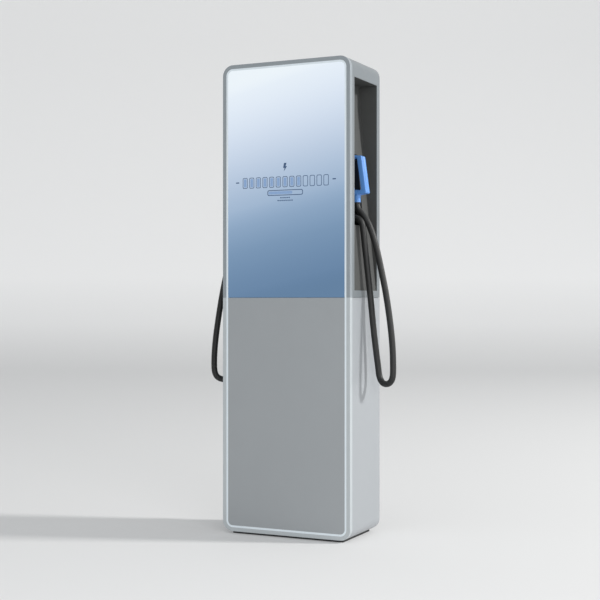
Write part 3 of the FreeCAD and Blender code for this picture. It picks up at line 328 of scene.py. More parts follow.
SEAM_LEVEL = (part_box("shell_lower")[1].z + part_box("shell_upper")[0].z) / 2
bezel_coat = two_tone_coat("bezel_two_tone_coat", "8f969b", "b4babd", SEAM_LEVEL)
print("seam at", round(SEAM_LEVEL, 3), "m")

# %% [markdown]
# ## The lit front
# Behind the glass a display shows a slow fade from near white to steel blue.  The glass itself is
# toughened, 6 mm thick and flush with the light guide, so it only adds a sharp clear reflection.  The
# light guide is opal acrylic, which scatters the LED tape behind it into an even white line.

# %% Display glass and light guide
GLASS_LOW, GLASS_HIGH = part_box("display_glass")
# The display's colours from its foot, 0, to its top, 1, and how far the fade leans across it.
FADE = [(0.00, "5f7fa0"), (0.074, "6383a6"), (0.248, "7896b6"), (0.357, "8ba6c4"),
        (0.44, "9fb7d2"), (0.61, "c0d0e5"), (0.77, "d9e5f5"), (0.945, "edf6ff"), (1.00, "f2faff")]
FADE_LEAN = 0.13


def lit_glass():
    material, tree, shader = finish_of("toughened_glass_over_display", base_color=linear("05080c"),
                                       roughness=0.06, emission_strength=0.93)
    place = add(tree, "ShaderNodeSeparateXYZ", {"Vector": object_place(tree)})
    climb = add(tree, "ShaderNodeMapRange", {"Value": place.outputs["Z"]}, from_min=GLASS_LOW.z,
                from_max=GLASS_HIGH.z, to_min=0.0, to_max=1.0)
    across = add(tree, "ShaderNodeMapRange", {"Value": place.outputs["X"]}, from_min=GLASS_LOW.x,
                 from_max=GLASS_HIGH.x, to_min=FADE_LEAN / 2, to_max=-FADE_LEAN / 2)
    sum_of = add(tree, "ShaderNodeMath", operation="ADD")
    tree.links.new(climb.outputs["Result"], sum_of.inputs[0])
    tree.links.new(across.outputs["Result"], sum_of.inputs[1])
    ramp = colour_ramp(tree, sum_of.outputs[0], [(share, linear(tone)) for share, tone in FADE])
    ramp.color_ramp.interpolation = "B_SPLINE"
    tree.links.new(ramp.outputs["Color"], shader.inputs["Emission Color"])
    return material


def opal_acrylic():
    material, tree, shader = finish_of("opal_acrylic", base_color=linear("c3cbd0"), roughness=0.3,
                                       emission_color=linear("e9f3fa"))
    led_spacing_mm = 40
    noise = speckle(tree, led_spacing_mm, 1.0)
    glow = add(tree, "ShaderNodeMapRange", {"Value": noise.outputs["Fac"]}, to_min=0.17, to_max=0.23)
    tree.links.new(glow.outputs["Result"], shader.inputs["Emission Strength"])
    return material


display_glass = lit_glass()
acrylic = opal_acrylic()
led_tape = finish_of("white_led_tape", base_color=linear("f2efd8"), roughness=0.5,
                     emission_color=linear("fff8e8"), emission_strength=1.2)[0]
print("glass", round(GLASS_HIGH.z - GLASS_LOW.z, 3), "m high")

# %% [markdown]
# ## Plastics and rubber
# Four plastics are in reach of a hand: textured ABS in the niche, glass-filled nylon on everything
# black, weather-proof ASA for the blue handle, and the TPU jacket of the cable.  Moulded parts carry
# the spark-eroded texture of their tool, from a tenth of a millimetre to a millimetre; it is drawn a
# little coarser than life here so that it shows.


# %% Plastics
def moulded(name, pale, dark, roughness, grain_mm, depth_mm, **settings):
    material, tree, shader = finish_of(name, roughness=roughness, **settings)
    tinted(tree, shader, pale, dark, size_mm=45)
    uneven(tree, shader, "Roughness", 30, roughness - 0.05, roughness + 0.06)
    grain(tree, shader, grain_mm, depth_mm, detail=4.0)
    return material


niche_abs = moulded("textured_abs_dark_grey", "484948", "434443", 0.68, 1.6, 0.12)
black_nylon = moulded("glass_filled_nylon_black", "1b1b1d", "131314", 0.5, 0.9, 0.08)
blue_asa = moulded("asa_sky_blue", "5d93d9", "588dd2", 0.42, 0.8, 0.03, coat_weight=0.05,
                   coat_roughness=0.3)
cable_jacket = moulded("tpu_cable_jacket_black", "181919", "131414", 0.52, 1.2, 0.06,
                       sheen_weight=0.06, sheen_roughness=0.5)
seal_epdm = moulded("epdm_seal_black", "191919", "131313", 0.75, 1.0, 0.1)
breaker_resin = moulded("moulded_resin_light_grey", "c4c4bf", "b9b9b3", 0.45, 1.0, 0.04)
contactor_resin = moulded("moulded_resin_ivory", "d8d2c0", "cfc9b6", 0.45, 1.0, 0.04)
print("plastics ready")

# %% [markdown]
# ## Bare metals
# Galvanised sheet shows spangle, the frozen crystals of its zinc, some 10 to 15 mm across.  Stainless
# fittings are brushed one way.  Copper bars are rolled bright and dull within weeks.


# %% Metals
def galvanised(name):
    material, tree, shader = finish_of(name, metallic=0.9, roughness=0.42)
    crystal_mm = 12
    spangle = add(tree, "ShaderNodeTexVoronoi", {"Vector": object_place(tree)}, scale=1000 / crystal_mm)
    shade = add(tree, "ShaderNodeSeparateColor", {"Color": spangle.outputs["Color"]})
    two_shades(tree, shader, "bcc1c3", "a4a9ab", shade.outputs["Red"])
    rough = add(tree, "ShaderNodeMapRange", {"Value": shade.outputs["Green"]}, to_min=0.34,
                to_max=0.52)
    tree.links.new(rough.outputs["Result"], shader.inputs["Roughness"])
    return material


def brushed(name, pale, dark, roughness, along):
    """Long thin streaks along one axis: the scratch marks of a belt sander."""
    material, tree, shader = finish_of(name, metallic=1.0, roughness=roughness)
    per_metre_across, per_metre_along = 900.0, 12.0
    stretch = [per_metre_along if axis == along else per_metre_across for axis in "xyz"]
    mapping = add(tree, "ShaderNodeMapping", {"Vector": object_place(tree)}, scale=stretch)
    noise = add(tree, "ShaderNodeTexNoise", {"Vector": mapping.outputs["Vector"]}, scale=1.0,
                detail=3.0)
    two_shades(tree, shader, pale, dark, noise.outputs["Fac"])
    rough = add(tree, "ShaderNodeMapRange", {"Value": noise.outputs["Fac"]}, to_min=roughness - 0.08,
                to_max=roughness + 0.1)
    tree.links.new(rough.outputs["Result"], shader.inputs["Roughness"])
    bump = add(tree, "ShaderNodeBump", {"Height": noise.outputs["Fac"]}, strength=0.15,
               distance=0.02 * MM)
    tree.links.new(bump.outputs["Normal"], shader.inputs["Normal"])
    return material


zinc_sheet = galvanised("galvanised_sheet_steel")
stainless = brushed("brushed_stainless_steel", "c9c9c6", "a9a9a6", 0.3, "z")
case_aluminium = brushed("plain_aluminium_sheet", "c6c8ca", "b0b3b5", 0.38, "x")
copper = brushed("rolled_copper", "c98a63", "b5744e", 0.3, "z")
silver = brushed("silver_plated_contact", "dcdbd5", "c3c1b9", 0.22, "x")

# %% [markdown]
# ## Foam and circuit board
# The dark foam is a mass of small cells that scatter what light there is; each cell is drawn
# darker in its middle, which is painted shade in its hollow.  The control board is green lacquer
# over copper tracks, laid out in blocks.

# %% Foam and circuit board
def foam(name):
    material, tree, shader = finish_of(name, roughness=0.95)
    cell_mm = 2.5
    cells = add(tree, "ShaderNodeTexVoronoi", {"Vector": object_place(tree)}, scale=1000 / cell_mm)
    # Painted shade: each cell is darker in its middle, where its hollow lies, and paler at its rim.
    two_shades(tree, shader, "4a4a4a", "1c1c1c", cells.outputs["Distance"])
    bump = add(tree, "ShaderNodeBump", {"Height": cells.outputs["Distance"]}, strength=0.8,
               distance=0.8 * MM)
    tree.links.new(bump.outputs["Normal"], shader.inputs["Normal"])
    return material


def circuit_board(name):
    """Green solder mask over copper tracks, which show as a slightly paler brick-like maze."""
    material, tree, shader = finish_of(name, roughness=0.32, coat_weight=0.3, coat_roughness=0.2)
    turned = add(tree, "ShaderNodeMapping", {"Vector": object_place(tree)},
                 rotation=(math.pi / 2, 0, 0))
    block_mm = 40
    tracks = add(tree, "ShaderNodeTexBrick", {"Vector": turned.outputs["Vector"]},
                 scale=1000 / block_mm)
    tracks.inputs["Color1"].default_value = linear("0f5a34")
    tracks.inputs["Color2"].default_value = linear("12663b")
    tracks.inputs["Mortar"].default_value = linear("2d8a58")
    tree.links.new(tracks.outputs["Color"], shader.inputs["Base Color"])
    return material


filter_foam = foam("open_cell_foam")
solder_mask = circuit_board("solder_mask_green")
screen_back = finish_of("display_module_black_steel", base_color=linear("17191b"), metallic=0.6,
                        roughness=0.5)[0]
print("materials:", len(bpy.data.materials))

# %% [markdown]
# ## Every machined part gets its own finish
# The frame's parts arrive with plain stand-in colours.  One table says which finish each part wears.

# %% Finishes of the frame's parts
WEARS = [
    (pale_coat, ["shell_lower"]),
    (mid_coat, ["shell_upper", "rear_door", "intake_grille", "exhaust_grille"]),
    (panel_coat, ["lower_front_panel"]),
    (black_plinth_and_gap_shade, ["base_plinth"]),
    (bezel_coat, ["bezel_frame"]),
    (display_glass, ["display_glass"]),
    (acrylic, ["light_guide"]),
    (led_tape, ["led_strip"]),
    (screen_back, ["display_panel"]),
    (zinc_sheet, ["seam_straps", "mid_rail", "display_rails", "door_frame", "rack_frame",
                  "mounting_plate", "cable_entry_plate"]),
    (niche_abs, ["niche_right", "niche_left"]),
    (black_nylon, ["holster_wells", "holster_sockets", "connector_nose_right", "connector_nose_left",
                   "fan_frames", "fan_rotor_left", "fan_rotor_right", "cable_glands",
                   "cable_collar_right", "cable_collar_left"]),
    (blue_asa, ["handle_shell_front_right", "handle_shell_rear_right", "handle_shell_front_left",
                "handle_shell_rear_left"]),
    (silver, ["contact_pins_right", "contact_pins_left"]),
    (cable_jacket, ["cable_tail_right", "cable_tail_left"]),
    (stainless, ["handle_screws_right", "handle_screws_left", "hinge_blocks", "hinge_pins",
                 "hinge_leaves", "lock_cam_lower", "lock_cam_upper", "lock_housings"]),
    (seal_epdm, ["glass_gasket", "door_seal", "entry_grommets"]),
    (filter_foam, ["filter_mat"]),
    (case_aluminium, ["power_modules"]),
    (solder_mask, ["control_board"]),
    (contactor_resin, ["contactors", "supply_terminals"]),
    (breaker_resin, ["circuit_breakers", "energy_meter"]),
]
for material, names in WEARS:
    for name in names:
        for material_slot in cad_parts[name].material_slots:
            material_slot.material = material
for cable in cables.values():
    cable.data.materials.append(cable_jacket)
dressed = {name for _material, names in WEARS for name in names}
print("left undressed:", sorted(set(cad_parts) - dressed))

# %% [markdown]
# ## Two helpers for mesh work
# Most moulded things are a rounded outline carried along a line, a little smaller at each end.  One
# helper rounds the corners of an outline; the other skins a row of outlines into a closed mesh.


# %% Outlines, skins and pieces
def rounded(corners, radii, steps=5):
    """The outline of a polygon with an arc at each corner."""
    points = []
    for number, corner in enumerate(corners):
        here = Vector(corner)
        back = (Vector(corners[number - 1]) - here).normalized()
        ahead = (Vector(corners[(number + 1) % len(corners)]) - here).normalized()
        half = back.angle(ahead) / 2
        radius = radii[number] if isinstance(radii, (list, tuple)) else radii
        centre = here + (back + ahead).normalized() * (radius / math.sin(half))
        start = here + back * (radius / math.tan(half)) - centre
        end = here + ahead * (radius / math.tan(half)) - centre
        sweep = math.pi - 2 * half
        for step in range(steps + 1):
            share = sweep * step / steps
            blend = start * math.sin(sweep - share) + end * math.sin(share)
            points.append(centre + blend / math.sin(sweep))
    return points


def rounded_box(wide, high, radius, steps=5):
    x, y = wide / 2, high / 2
    return rounded([(-x, -y), (x, -y), (x, y), (-x, y)], radius, steps)


def circle(radius, count=32):
    turns = [2 * math.pi * k / count for k in range(count)]
    return [Vector((radius * math.cos(turn), radius * math.sin(turn))) for turn in turns]


def skin(name, rings, closed=False):
    """Joins rings of points into a mesh of quads, capped at both ends or closed on itself."""
    count = len(rings[0])
    mesh = bpy.data.meshes.new(name)
    work = bmesh.new()
    verts = [[work.verts.new(point) for point in ring] for ring in rings]
    pairs = list(zip(verts, verts[1:])) + ([(verts[-1], verts[0])] if closed else [])
    for before, after in pairs:
        for number in range(count):
            following = (number + 1) % count
            work.faces.new((before[number], before[following], after[following], after[number]))
    if not closed:
        work.faces.new(list(reversed(verts[0])))
        work.faces.new(verts[-1])
    bmesh.ops.recalc_face_normals(work, faces=work.faces)
    for face in work.faces:
        face.smooth = len(face.verts) == 4
    work.to_mesh(mesh)
    work.free()
    return mesh


def add_piece(name, mesh, body, material, stands_for=()):
    piece = bpy.data.objects.new(name, mesh)
    bpy.context.scene.collection.objects.link(piece)
    mesh.materials.append(material)
    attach(piece, body)
    if stands_for:
        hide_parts(*stands_for)
    return piece


def soft_steps(thick, radius, steps=4):
    """(inset, depth) pairs that round both rims of a plate."""
    quarter = [math.pi / 2 * step / steps for step in range(steps + 1)]
    near = [(radius - radius * math.sin(turn), radius - radius * math.cos(turn)) for turn in quarter]
    far = [(inset, thick - depth) for inset, depth in reversed(near)]
    return near + far


print("mesh helpers ready")

# %% [markdown]
# ## The blue connector
# The handle is a closed loop that a hand reaches through, moulded in two halves that meet along the
# middle.  Its cross-section is a rounded rectangle all the way round, so the loop is built by
# sweeping that section round the finger hole: one section for each direction from the hole's
# middle, from the hole's edge to the outer edge.  A shallow groove draws the parting line.

# %% Handle sizes
HANDLE_TILT = math.radians(8)
PULL_AXIS = Vector((math.cos(HANDLE_TILT), 0, math.sin(HANDLE_TILT)))
HANDLE_LEVEL = 1532 * MM
HANDLE_MIDDLE = -1 * MM
HANDLE_THICK = 44 * MM
RIM_ROUND = 4 * MM
GROOVE_WIDE = 1.2 * MM
GROOVE_DEEP = 0.9 * MM
LOOP_OUTER = [(0, -80), (0, 80), (-62, 94), (-86, 94), (-86, -68), (-60, -80)]
LOOP_OUTER_ROUND = [6, 7, 9, 6, 6, 9]
LOOP_HOLE = [(-22, -62), (-22, 75), (-66, 79), (-66, -62)]
LOOP_HOLE_ROUND = 6
HOLE_MIDDLE = Vector((-44, 8)) * MM
PROFILE_STEPS = 5


def in_hand(side, out, back, up):
    """A point given by the handle's own axes: out of the niche, back, and up the grip."""
    across = HALF_WIDE + PULL_AXIS.x * out - PULL_AXIS.z * up
    return Vector((side * across, HANDLE_MIDDLE + back,
                   HANDLE_LEVEL + PULL_AXIS.z * out + PULL_AXIS.x * up))


def where_ray_meets(outline, start, heading):
    """How far a ray from inside an outline goes before it leaves it."""
    for before, after in zip(outline, outline[1:] + outline[:1]):
        edge = after - before
        across = heading.x * edge.y - heading.y * edge.x
        if abs(across) < 1e-12:
            continue
        gap = before - start
        along = (gap.x * edge.y - gap.y * edge.x) / across
        share = (gap.x * heading.y - gap.y * heading.x) / across
        if along > 0 and -1e-6 <= share <= 1 + 1e-6:
            return along
    raise ValueError("the outline has a gap")


def section_profile(width, thick, radius):
    """A rounded rectangle, hole side to outer side, with a groove along both of those sides."""
    radius = min(radius, width * 0.45)
    half = thick / 2
    corners = rounded([(0, -half), (width, -half), (width, half), (0, half)], radius, PROFILE_STEPS)
    groove = [(0, -GROOVE_WIDE / 2), (GROOVE_DEEP, -GROOVE_WIDE / 4),
              (GROOVE_DEEP, GROOVE_WIDE / 4), (0, GROOVE_WIDE / 2)]
    outer_side = [Vector((width - x, y)) for x, y in groove]
    hole_side = [Vector((x, y)) for x, y in reversed(groove)]
    front_corners = 2 * (PROFILE_STEPS + 1)
    return corners[:front_corners] + outer_side + corners[front_corners:] + hole_side


def loop_mesh(side):
    outer = rounded([(x * MM, z * MM) for x, z in LOOP_OUTER],
                    [radius * MM for radius in LOOP_OUTER_ROUND], 6)
    hole = rounded([(x * MM, z * MM) for x, z in LOOP_HOLE], LOOP_HOLE_ROUND * MM, 6)
    turns = sorted({round(math.atan2(*(point - HOLE_MIDDLE).yx), 4) for point in outer + hole})
    rings = []
    for turn in turns:
        heading = Vector((math.cos(turn), math.sin(turn)))
        near = where_ray_meets(hole, HOLE_MIDDLE, heading)
        far = where_ray_meets(outer, HOLE_MIDDLE, heading)
        ring = []
        for point in section_profile(far - near, HANDLE_THICK, RIM_ROUND):
            place = HOLE_MIDDLE + heading * (near + point.x)
            ring.append(in_hand(side, place.x, point.y, place.y))
        rings.append(ring)
    return skin("handle_loop", rings, closed=True)


# %% [markdown]
# Below the loop the handle narrows into a round neck that grips the cable.  Shallow rings near its
# end let the neck flex with the cable, and a black collar closes it.

# %% Neck sizes and meshes
NECK_OUT = -40 * MM
NECK_LOW = 1416 * MM
NECK_BORE = 13.4
# Each point: the neck's radius and how far above its lower end, in millimetres.
NECK_PROFILE = [(16.0, 0), (16.0, 3.5), (15.2, 4.3), (15.2, 6.1), (16.0, 6.9), (16.0, 10.5),
                (15.2, 11.3), (15.2, 13.1), (16.0, 13.9), (16.0, 17.5), (15.2, 18.3), (15.2, 20.1),
                (16.0, 20.9), (16.0, 36), (16.6, 41), (18.2, 46), (20.5, 51)]


def join_meshes(name, meshes):
    work = bmesh.new()
    for mesh in meshes:
        work.from_mesh(mesh)
    joined = bpy.data.meshes.new(name)
    work.to_mesh(joined)
    work.free()
    return joined


def neck_mesh(side):
    turned = [(NECK_BORE, 0)] + NECK_PROFILE + [(NECK_BORE, NECK_PROFILE[-1][1])]
    x = side * (HALF_WIDE + NECK_OUT)
    rings = []
    for radius, level in turned:
        rings.append([Vector((x + point.x, HANDLE_MIDDLE + point.y, NECK_LOW + level * MM))
                      for point in circle(radius * MM, 40)])
    return skin("handle_neck", rings, closed=True)


def screw_mesh(side, out, up):
    """A pan head with a round socket, seen from behind; each ring is a radius and a height."""
    head = [(2.2, 0.0), (2.2, 0.55), (1.9, 0.95), (1.2, 1.15), (0.9, 1.15), (0.8, 0.35)]
    rings = [[in_hand(side, out * MM + p.x, HANDLE_THICK / 2 + height * MM, up * MM + p.y)
              for p in circle(radius * MM, 24)] for radius, height in head]
    return skin("screw", rings)


SCREW_PLACES = [(-11, -70), (-11, 70), (-77, 84), (-77, -52)]
for name, side in (("right", 1), ("left", -1)):
    body = f"connector_{name}"
    handle = join_meshes("handle", [loop_mesh(side), neck_mesh(side)])
    add_piece(f"handle_moulding_{name}", handle, body, blue_asa,
              (f"handle_shell_front_{name}", f"handle_shell_rear_{name}"))
    fixings = join_meshes("fixings", [screw_mesh(side, *at) for at in SCREW_PLACES])
    add_piece(f"handle_fixings_{name}", fixings, body, stainless,
              (f"handle_screws_{name}",))
print("handle loops and necks made")


# %% [markdown]
# ## Marks on the display
# The display shows the state of charge as plain marks: a bolt, a row of cells with a shorter bar under
# it, and two lines of small dashes.  Each mark is a film a third of a millimetre thick on the glass,
# so it is a real shape and not a picture.

# %% Display marks
MARK_THICK = 0.3 * MM
GLASS_FACE = GLASS_LOW.y
ink = finish_of("screen_ink_blue_grey", base_color=linear("2c405c"), roughness=0.4,
                emission_color=linear("3a5274"), emission_strength=0.5)[0]
soft_ink = finish_of("screen_ink_pale", base_color=linear("6a82a3"), roughness=0.4,
                     emission_color=linear("7d97ba"), emission_strength=0.5)[0]


def mark_at(point, depth):
    return Vector((point.x, GLASS_FACE + depth, point.y))


def solid_mark(outline):
    rings = [[mark_at(point, depth) for point in outline] for depth in (-MARK_THICK, 0.0)]
    return skin("mark", rings)


def frame_mark(centre, wide, high, radius, stroke):
    outer = [point + centre for point in rounded_box(wide, high, radius)]
    inner = [point + centre for point in rounded_box(wide - 2 * stroke, high - 2 * stroke,
                                                     radius - stroke * 0.7)]
    layers = ((outer, 0.0), (outer, -MARK_THICK), (inner, -MARK_THICK), (inner, 0.0))
    rings = [[mark_at(point, depth) for point in outline] for outline, depth in layers]
    return skin("mark", rings, closed=True)


def dash(x, z, wide):
    outline = rounded_box(wide, DASH_HIGH, DASH_HIGH * 0.4, 3)
    return solid_mark([point + Vector((x, z)) for point in outline])


def fill_mark(centre, wide, high, radius):
    return solid_mark([point + centre for point in rounded_box(wide, high, radius)])


BOLT = [(-5, 18), (7, 18), (2, 4), (9, 4), (-6, -18), (-2, -3), (-9, -3)]
BOLT_LEVEL = 1.561
CELL_COUNT = 13
CHARGED = 9
CELL_LEVEL = 1.5
CELL_HIGH = 46 * MM
CELLS_HALF = 205 * MM
CELL_PITCH = 2 * CELLS_HALF / CELL_COUNT
CELL_GAP = 8 * MM
CELL_STROKE = 2.6 * MM
FILL_INSET = 5.5 * MM
BAR_LEVEL = 1.4545
BAR_STROKE = 3.2 * MM
END_DASH = 226 * MM
DASH_HIGH = 5 * MM
DASH_GAP = 2.5 * MM
# Each row of dashes: its level, half its width and how many.
DASH_ROWS = [(1.433, 24 * MM, 5), (1.4215, 37 * MM, 8)]


def cell_middle(number):
    return Vector((-CELLS_HALF + CELL_PITCH * (number + 0.5), CELL_LEVEL))


marks = [solid_mark([Vector((x * MM, BOLT_LEVEL + z * MM)) for x, z in BOLT])]
for number in range(CELL_COUNT):
    marks.append(frame_mark(cell_middle(number), CELL_PITCH - CELL_GAP, CELL_HIGH, 6 * MM, CELL_STROKE))
marks.append(frame_mark(Vector((0, BAR_LEVEL)), 166 * MM, 24 * MM, 8 * MM, BAR_STROKE))
for side in (-1, 1):
    marks.append(dash(side * END_DASH, CELL_LEVEL + 3 * MM, 16 * MM))
for level, half, count in DASH_ROWS:
    pitch = 2 * half / count
    for number in range(count):
        marks.append(dash(-half + pitch * (number + 0.5), level, pitch - DASH_GAP))
add_piece("display_marks", join_meshes("marks", marks), "cabinet", ink)
fills = [fill_mark(cell_middle(number), CELL_PITCH - CELL_GAP - 2 * FILL_INSET,
                   CELL_HIGH - 2 * FILL_INSET, 3 * MM) for number in range(CHARGED)]
fills.append(fill_mark(Vector((-22 * MM, BAR_LEVEL)), 112 * MM, 12 * MM, 5 * MM))
add_piece("display_marks_pale", join_meshes("fills", fills), "cabinet", soft_ink)
print("marks:", len(marks) + len(fills))

# %% [markdown]
# ## The power stage
# Four rectifier modules slide into the rack like drawers.  Each shows the door two guarded fans, a
# pull bar and two status lamps.  A fan guard is bent wire: concentric rings on four spokes, welded at
# the crossings, so each ring is swept as a thin torus and the spokes lie across them.


# %% Bars, rings and soft-edged blocks
def torus_rings(centre, radius, wire, around=36, across=8):
    """A wire ring about the Y axis."""
    rings = []
    for step in range(around):
        angle = 2 * math.pi * step / around
        outward = Vector((math.cos(angle), 0, math.sin(angle)))
        rings.append([centre + outward * (radius + point.x) + Vector((0, point.y, 0))
                      for point in circle(wire, across)])
    return rings


def bar(start, end, radius, count=8):
    """A round bar between two points, its ends slightly domed."""
    heading = (end - start).normalized()
    side = heading.orthogonal().normalized()
    other = heading.cross(side)
    steps = [(start, 0.55), (start + heading * radius * 0.5, 1.0),
             (end - heading * radius * 0.5, 1.0), (end, 0.55)]
    return skin("bar", [[place + side * point.x + other * point.y
                         for point in circle(radius * share, count)] for place, share in steps])


def soft_block(low, high, radius):
    """A box whose four long edges, along Y, and both rims are rounded."""
    low, high = Vector(low), Vector(high)
    middle = (low + high) / 2
    size = high - low
    radius = min(radius, size.x / 2.2, size.y / 2.2, size.z / 2.2)
    rings = []
    for inset, depth in soft_steps(size.y, radius, 3):
        outline = rounded_box(size.x - 2 * inset, size.z - 2 * inset,
                              max(radius - inset, radius * 0.15), 3)
        rings.append([Vector((middle.x + p.x, low.y + depth, middle.z + p.y)) for p in outline])
    return skin("block", rings)


def stud_on(middle, wide, high, deep, radius):
    """A soft-edged block that stands on a face: middle is on the face, deep is how proud it is."""
    half = Vector((wide / 2, 0, high / 2))
    return soft_block(middle - half, middle + half + Vector((0, deep, 0)), radius)


def turned_on(middle, profile, count):
    """A turned or hexagonal piece on a face: each ring is a radius and a height in millimetres."""
    return skin("turned", [[middle + Vector((p.x, height * MM, p.y)) for p in circle(radius * MM, count)]
                           for radius, height in profile])


# %% Wire fan guards on the modules
MODULES_LOW, MODULES_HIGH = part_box("power_modules")
MODULE_COUNT = 4
MODULE_HIGH = 133 * MM
MODULE_PITCH = (MODULES_HIGH.z - MODULES_LOW.z - MODULE_HIGH) / (MODULE_COUNT - 1)
PULL_BAR_PROUD = 12 * MM
MODULE_BACK = MODULES_HIGH.y - PULL_BAR_PROUD
GUARD_PLANE = MODULE_BACK - 2.5 * MM
GUARD_RADII = (8, 15, 22, 29)
GUARD_REACH = 31 * MM
GUARD_WIRE = 0.9 * MM
BAY_MIDDLE = 149 * MM
FAN_OFFSET = 32 * MM


def fan_guard(centre):
    parts = [skin("ring", torus_rings(centre, radius * MM, GUARD_WIRE), closed=True)
             for radius in GUARD_RADII]
    for turn in (45, 135):
        angle = math.radians(turn)
        reach = Vector((math.cos(angle), 0, math.sin(angle))) * GUARD_REACH
        parts.append(bar(centre - reach, centre + reach, GUARD_WIRE))
    return parts


guards, lamps, sockets = [], [], []
for number in range(MODULE_COUNT):
    level = MODULES_LOW.z + MODULE_PITCH * number + MODULE_HIGH / 2
    for side in (-1, 1):
        for offset in (-FAN_OFFSET, FAN_OFFSET):
            guards += fan_guard(Vector((side * BAY_MIDDLE + offset, GUARD_PLANE, level)))
    for x in (-27.5, -15.5):
        lamps.append(stud_on(Vector((x * MM, MODULE_BACK, level + 32.5 * MM)), 5 * MM, 5 * MM,
                             1.5 * MM, 1 * MM))
    sockets.append(stud_on(Vector((38 * MM, MODULE_BACK, level + 33 * MM)), 36 * MM, 18 * MM, 5 * MM,
                           2 * MM))
add_piece("module_fan_guards", join_meshes("guards", guards), "cabinet", stainless)
lamp_green = finish_of("indicator_green_polycarbonate", base_color=linear("2f9e5a"), roughness=0.25,
                       emission_color=linear("49e07f"), emission_strength=0.4)[0]
add_piece("module_lamps", join_meshes("lamps", lamps), "cabinet", lamp_green)
add_piece("module_sockets", join_meshes("sockets", sockets), "cabinet", black_nylon)
print("fan guards:", MODULE_COUNT * 4)

# %% [markdown]
# ## The control gear
# Straight flat copper bars run into the contactors from above and below, with a nut on each stud.
# The breakers have a row of toggles, the meter a small window, the terminals a row of clamp screws,
# and slotted trunking runs up both sides, its fingers 8 mm wide and 4 mm apart.

# %% Copper bars and their nuts
CONTACTORS_LOW, CONTACTORS_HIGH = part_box("contactors")
STUD_PLACES = [(side * 70 + end) * MM for side in (-1, 1) for end in (-18, 18)]
BAR_WIDE = 16 * MM
BAR_THICK = 3 * MM
BAR_OVER_STUD = 8 * MM
STUD_INSET = 25 * MM
NUT = [(6.5 * 0.96, 0), (6.5, 0.6), (6.5, 4.4), (6.5 * 0.92, 5)]
bars, nuts = [], []
for x in STUD_PLACES:
    face = CONTACTORS_HIGH.y
    runs = ((CONTACTORS_HIGH.z - STUD_INSET - BAR_OVER_STUD, CONTACTORS_HIGH.z + 60 * MM),
            (CONTACTORS_LOW.z - 28 * MM, CONTACTORS_LOW.z + STUD_INSET + BAR_OVER_STUD))
    for low, high in runs:
        bars.append(soft_block((x - BAR_WIDE / 2, face, low), (x + BAR_WIDE / 2, face + BAR_THICK, high),
                               1 * MM))
    for level in (CONTACTORS_HIGH.z - STUD_INSET, CONTACTORS_LOW.z + STUD_INSET):
        nuts.append(turned_on(Vector((x, face + BAR_THICK, level)), NUT, 6))
add_piece("copper_bars", join_meshes("bars", bars), "cabinet", copper)
add_piece("contactor_nuts", join_meshes("nuts", nuts), "cabinet", stainless)
print("copper bars:", len(bars))

# %% Toggles, windows and clamp screws
BREAKERS_LOW, BREAKERS_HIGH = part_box("circuit_breakers")
METER_LOW, METER_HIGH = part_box("energy_meter")
TERMINALS_LOW, TERMINALS_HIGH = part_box("supply_terminals")
CLAMP_SCREW = [(5.5, 0), (5.5, 1.4), (4.8, 2), (2.6, 2), (2.4, 0.6)]
toggles, windows, screws = [], [], []
for number in range(6):
    x = BREAKERS_LOW.x + (18 + 40 * number) * MM
    middle = (BREAKERS_LOW.z + BREAKERS_HIGH.z) / 2
    toggles.append(stud_on(Vector((x, BREAKERS_HIGH.y, middle + 7 * MM)), 16 * MM, 10 * MM, 9 * MM,
                           2 * MM))
    windows.append(stud_on(Vector((x, BREAKERS_HIGH.y, middle - 13.5 * MM)), 10 * MM, 5 * MM,
                           0.8 * MM, 0.5 * MM))
for number in range(8):
    x = TERMINALS_LOW.x + (11 + 24 * number) * MM
    for level in (TERMINALS_LOW.z + 12 * MM, TERMINALS_HIGH.z - 12 * MM):
        screws.append(turned_on(Vector((x, TERMINALS_HIGH.y, level)), CLAMP_SCREW, 20))
add_piece("breaker_toggles", join_meshes("toggles", toggles), "cabinet", black_nylon)
windows.append(soft_block((METER_LOW.x + 25 * MM, METER_HIGH.y, METER_HIGH.z - 55 * MM),
                          (METER_HIGH.x - 25 * MM, METER_HIGH.y + 1.5 * MM, METER_HIGH.z - 22 * MM),
                          1 * MM))
window_grey = finish_of("meter_window_grey_green", base_color=linear("8c998a"), roughness=0.12)[0]
add_piece("meter_windows", join_meshes("windows", windows), "cabinet", window_grey)
add_piece("terminal_screws", join_meshes("screws", screws), "cabinet", stainless)
print("clamp screws:", len(screws))

# %% Slotted trunking
PLATE_LOW, PLATE_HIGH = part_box("mounting_plate")
PLATE_FACE = METER_LOW.y
DUCT_DEEP = 40 * MM
DUCT_HALF = 14 * MM
DUCT_WALL = 2 * MM
LID_LAP = 1 * MM
FINGER_HALF = 4 * MM
FINGER_THICK = 1.6 * MM
FINGER_PITCH = 12 * MM
DUCT_PLACE = 121 * MM


def trunking(x, low, high):
    """Slotted trunking: a back strip with fingers on both sides and a snap-on lid."""
    lid, lid_half = PLATE_FACE + DUCT_DEEP, DUCT_HALF + LID_LAP
    pieces = [soft_block((x - DUCT_HALF, PLATE_FACE, low),
                         (x + DUCT_HALF, PLATE_FACE + DUCT_WALL, high), 0.8 * MM),
              soft_block((x - lid_half, lid, low), (x + lid_half, lid + DUCT_WALL, high), 0.8 * MM)]
    for number in range(int((high - low) / FINGER_PITCH)):
        level = low + FINGER_PITCH * (number + 0.5)
        for side in (-1, 1):
            edge = x + side * (DUCT_HALF - FINGER_THICK / 2)
            pieces.append(soft_block(
                (edge - FINGER_THICK / 2, PLATE_FACE + DUCT_WALL, level - FINGER_HALF),
                (edge + FINGER_THICK / 2, PLATE_FACE + DUCT_DEEP, level + FINGER_HALF), 0.4 * MM))
    return pieces


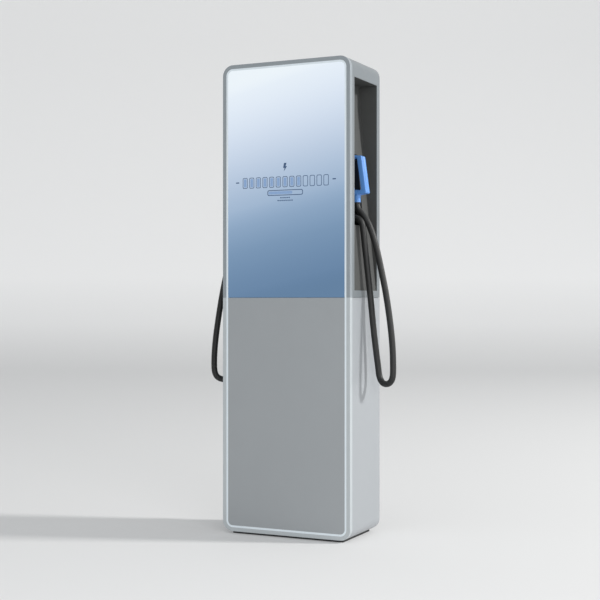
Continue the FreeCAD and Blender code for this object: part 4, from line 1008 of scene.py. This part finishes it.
ducts = []
for side in (-1, 1):
    ducts += trunking(side * DUCT_PLACE, PLATE_LOW.z + 40 * MM, BREAKERS_LOW.z - 60 * MM)
    ducts += trunking(side * DUCT_PLACE, CONTACTORS_LOW.z + 30 * MM, PLATE_HIGH.z - 20 * MM)
add_piece("wiring_trunking", join_meshes("trunking", ducts), "cabinet", breaker_resin)
print("trunking parts:", len(ducts))

# %% [markdown]
# ## The circuit board
# The board carries what such a board does: a finned heat sink, a row of electrolytic capacitors and
# pin headers along its lower edge.

# %% Board parts
BOARD_LOW, BOARD_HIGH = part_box("control_board")
SPACER_AND_BOARD = 8 * MM
CHIP_PROUD = 6 * MM
CHIP_FACE = BOARD_HIGH.y - SPACER_AND_BOARD - CHIP_PROUD
CAN = [(8, 0), (8, 1.2), (7.5, 2), (8, 2.8), (8, 22), (7.2, 23), (5.5, 23), (5.2, 22.4)]


def towards_front(low, high, deep, radius):
    """A soft-edged block in front of the chips' face, from (x, z) to (x, z) in millimetres."""
    return soft_block((low[0] * MM, CHIP_FACE - deep * MM, BOARD_LOW.z + low[1] * MM),
                      (high[0] * MM, CHIP_FACE, BOARD_LOW.z + high[1] * MM), radius)


fins = [towards_front((18 + 6 * number, 96), (19.6 + 6 * number, 136), 22, 0.5 * MM)
        for number in range(9)]
headers = [towards_front((-92 + 48 * number, 6), (-54 + 48 * number, 16), 9, 1 * MM)
           for number in range(4)]
cans = []
for number in range(5):
    x, z = (-88 + 22 * number) * MM, BOARD_LOW.z + 118 * MM
    rings = [[Vector((x + p.x, CHIP_FACE - height * MM, z + p.y)) for p in circle(radius * MM, 24)]
             for radius, height in CAN]
    cans.append(skin("can", rings))
add_piece("board_heat_sink", join_meshes("fins", fins), "cabinet", case_aluminium)
add_piece("board_capacitors", join_meshes("cans", cans), "cabinet", screen_back)
add_piece("board_headers", join_meshes("headers", headers), "cabinet", contactor_resin)
print("board parts:", len(fins) + len(cans) + len(headers))

# %% [markdown]
# ## Behind the post
# The door carries a drip rail, a folded strip that keeps rain out of the exhaust grille under it.
# Its section is a lip that leans out and turns down, a little smaller at each end.

# %% Drip rail
REAR_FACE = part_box("rear_door")[1].y
GRILLE_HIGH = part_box("exhaust_grille")[1]
RAIL_SECTION = [(0, 0), (9, -3), (10, -2.2), (10, 0.5), (1.5, 3.5), (0, 3.5)]
RAIL_HALF = GRILLE_HIGH.x + 6 * MM
RAIL_LEVEL = GRILLE_HIGH.z + 14 * MM
rings = []
for share, scale in ((-1, 0.72), (-0.985, 1.0), (0.985, 1.0), (1, 0.72)):
    rings.append([Vector((share * RAIL_HALF, REAR_FACE + out * MM * scale, RAIL_LEVEL + up * MM * scale))
                  for out, up in RAIL_SECTION])
add_piece("drip_rail", skin("drip_rail", rings), "service_door", mid_coat)
print("drip rail:", round(2 * RAIL_HALF, 3), "m long")
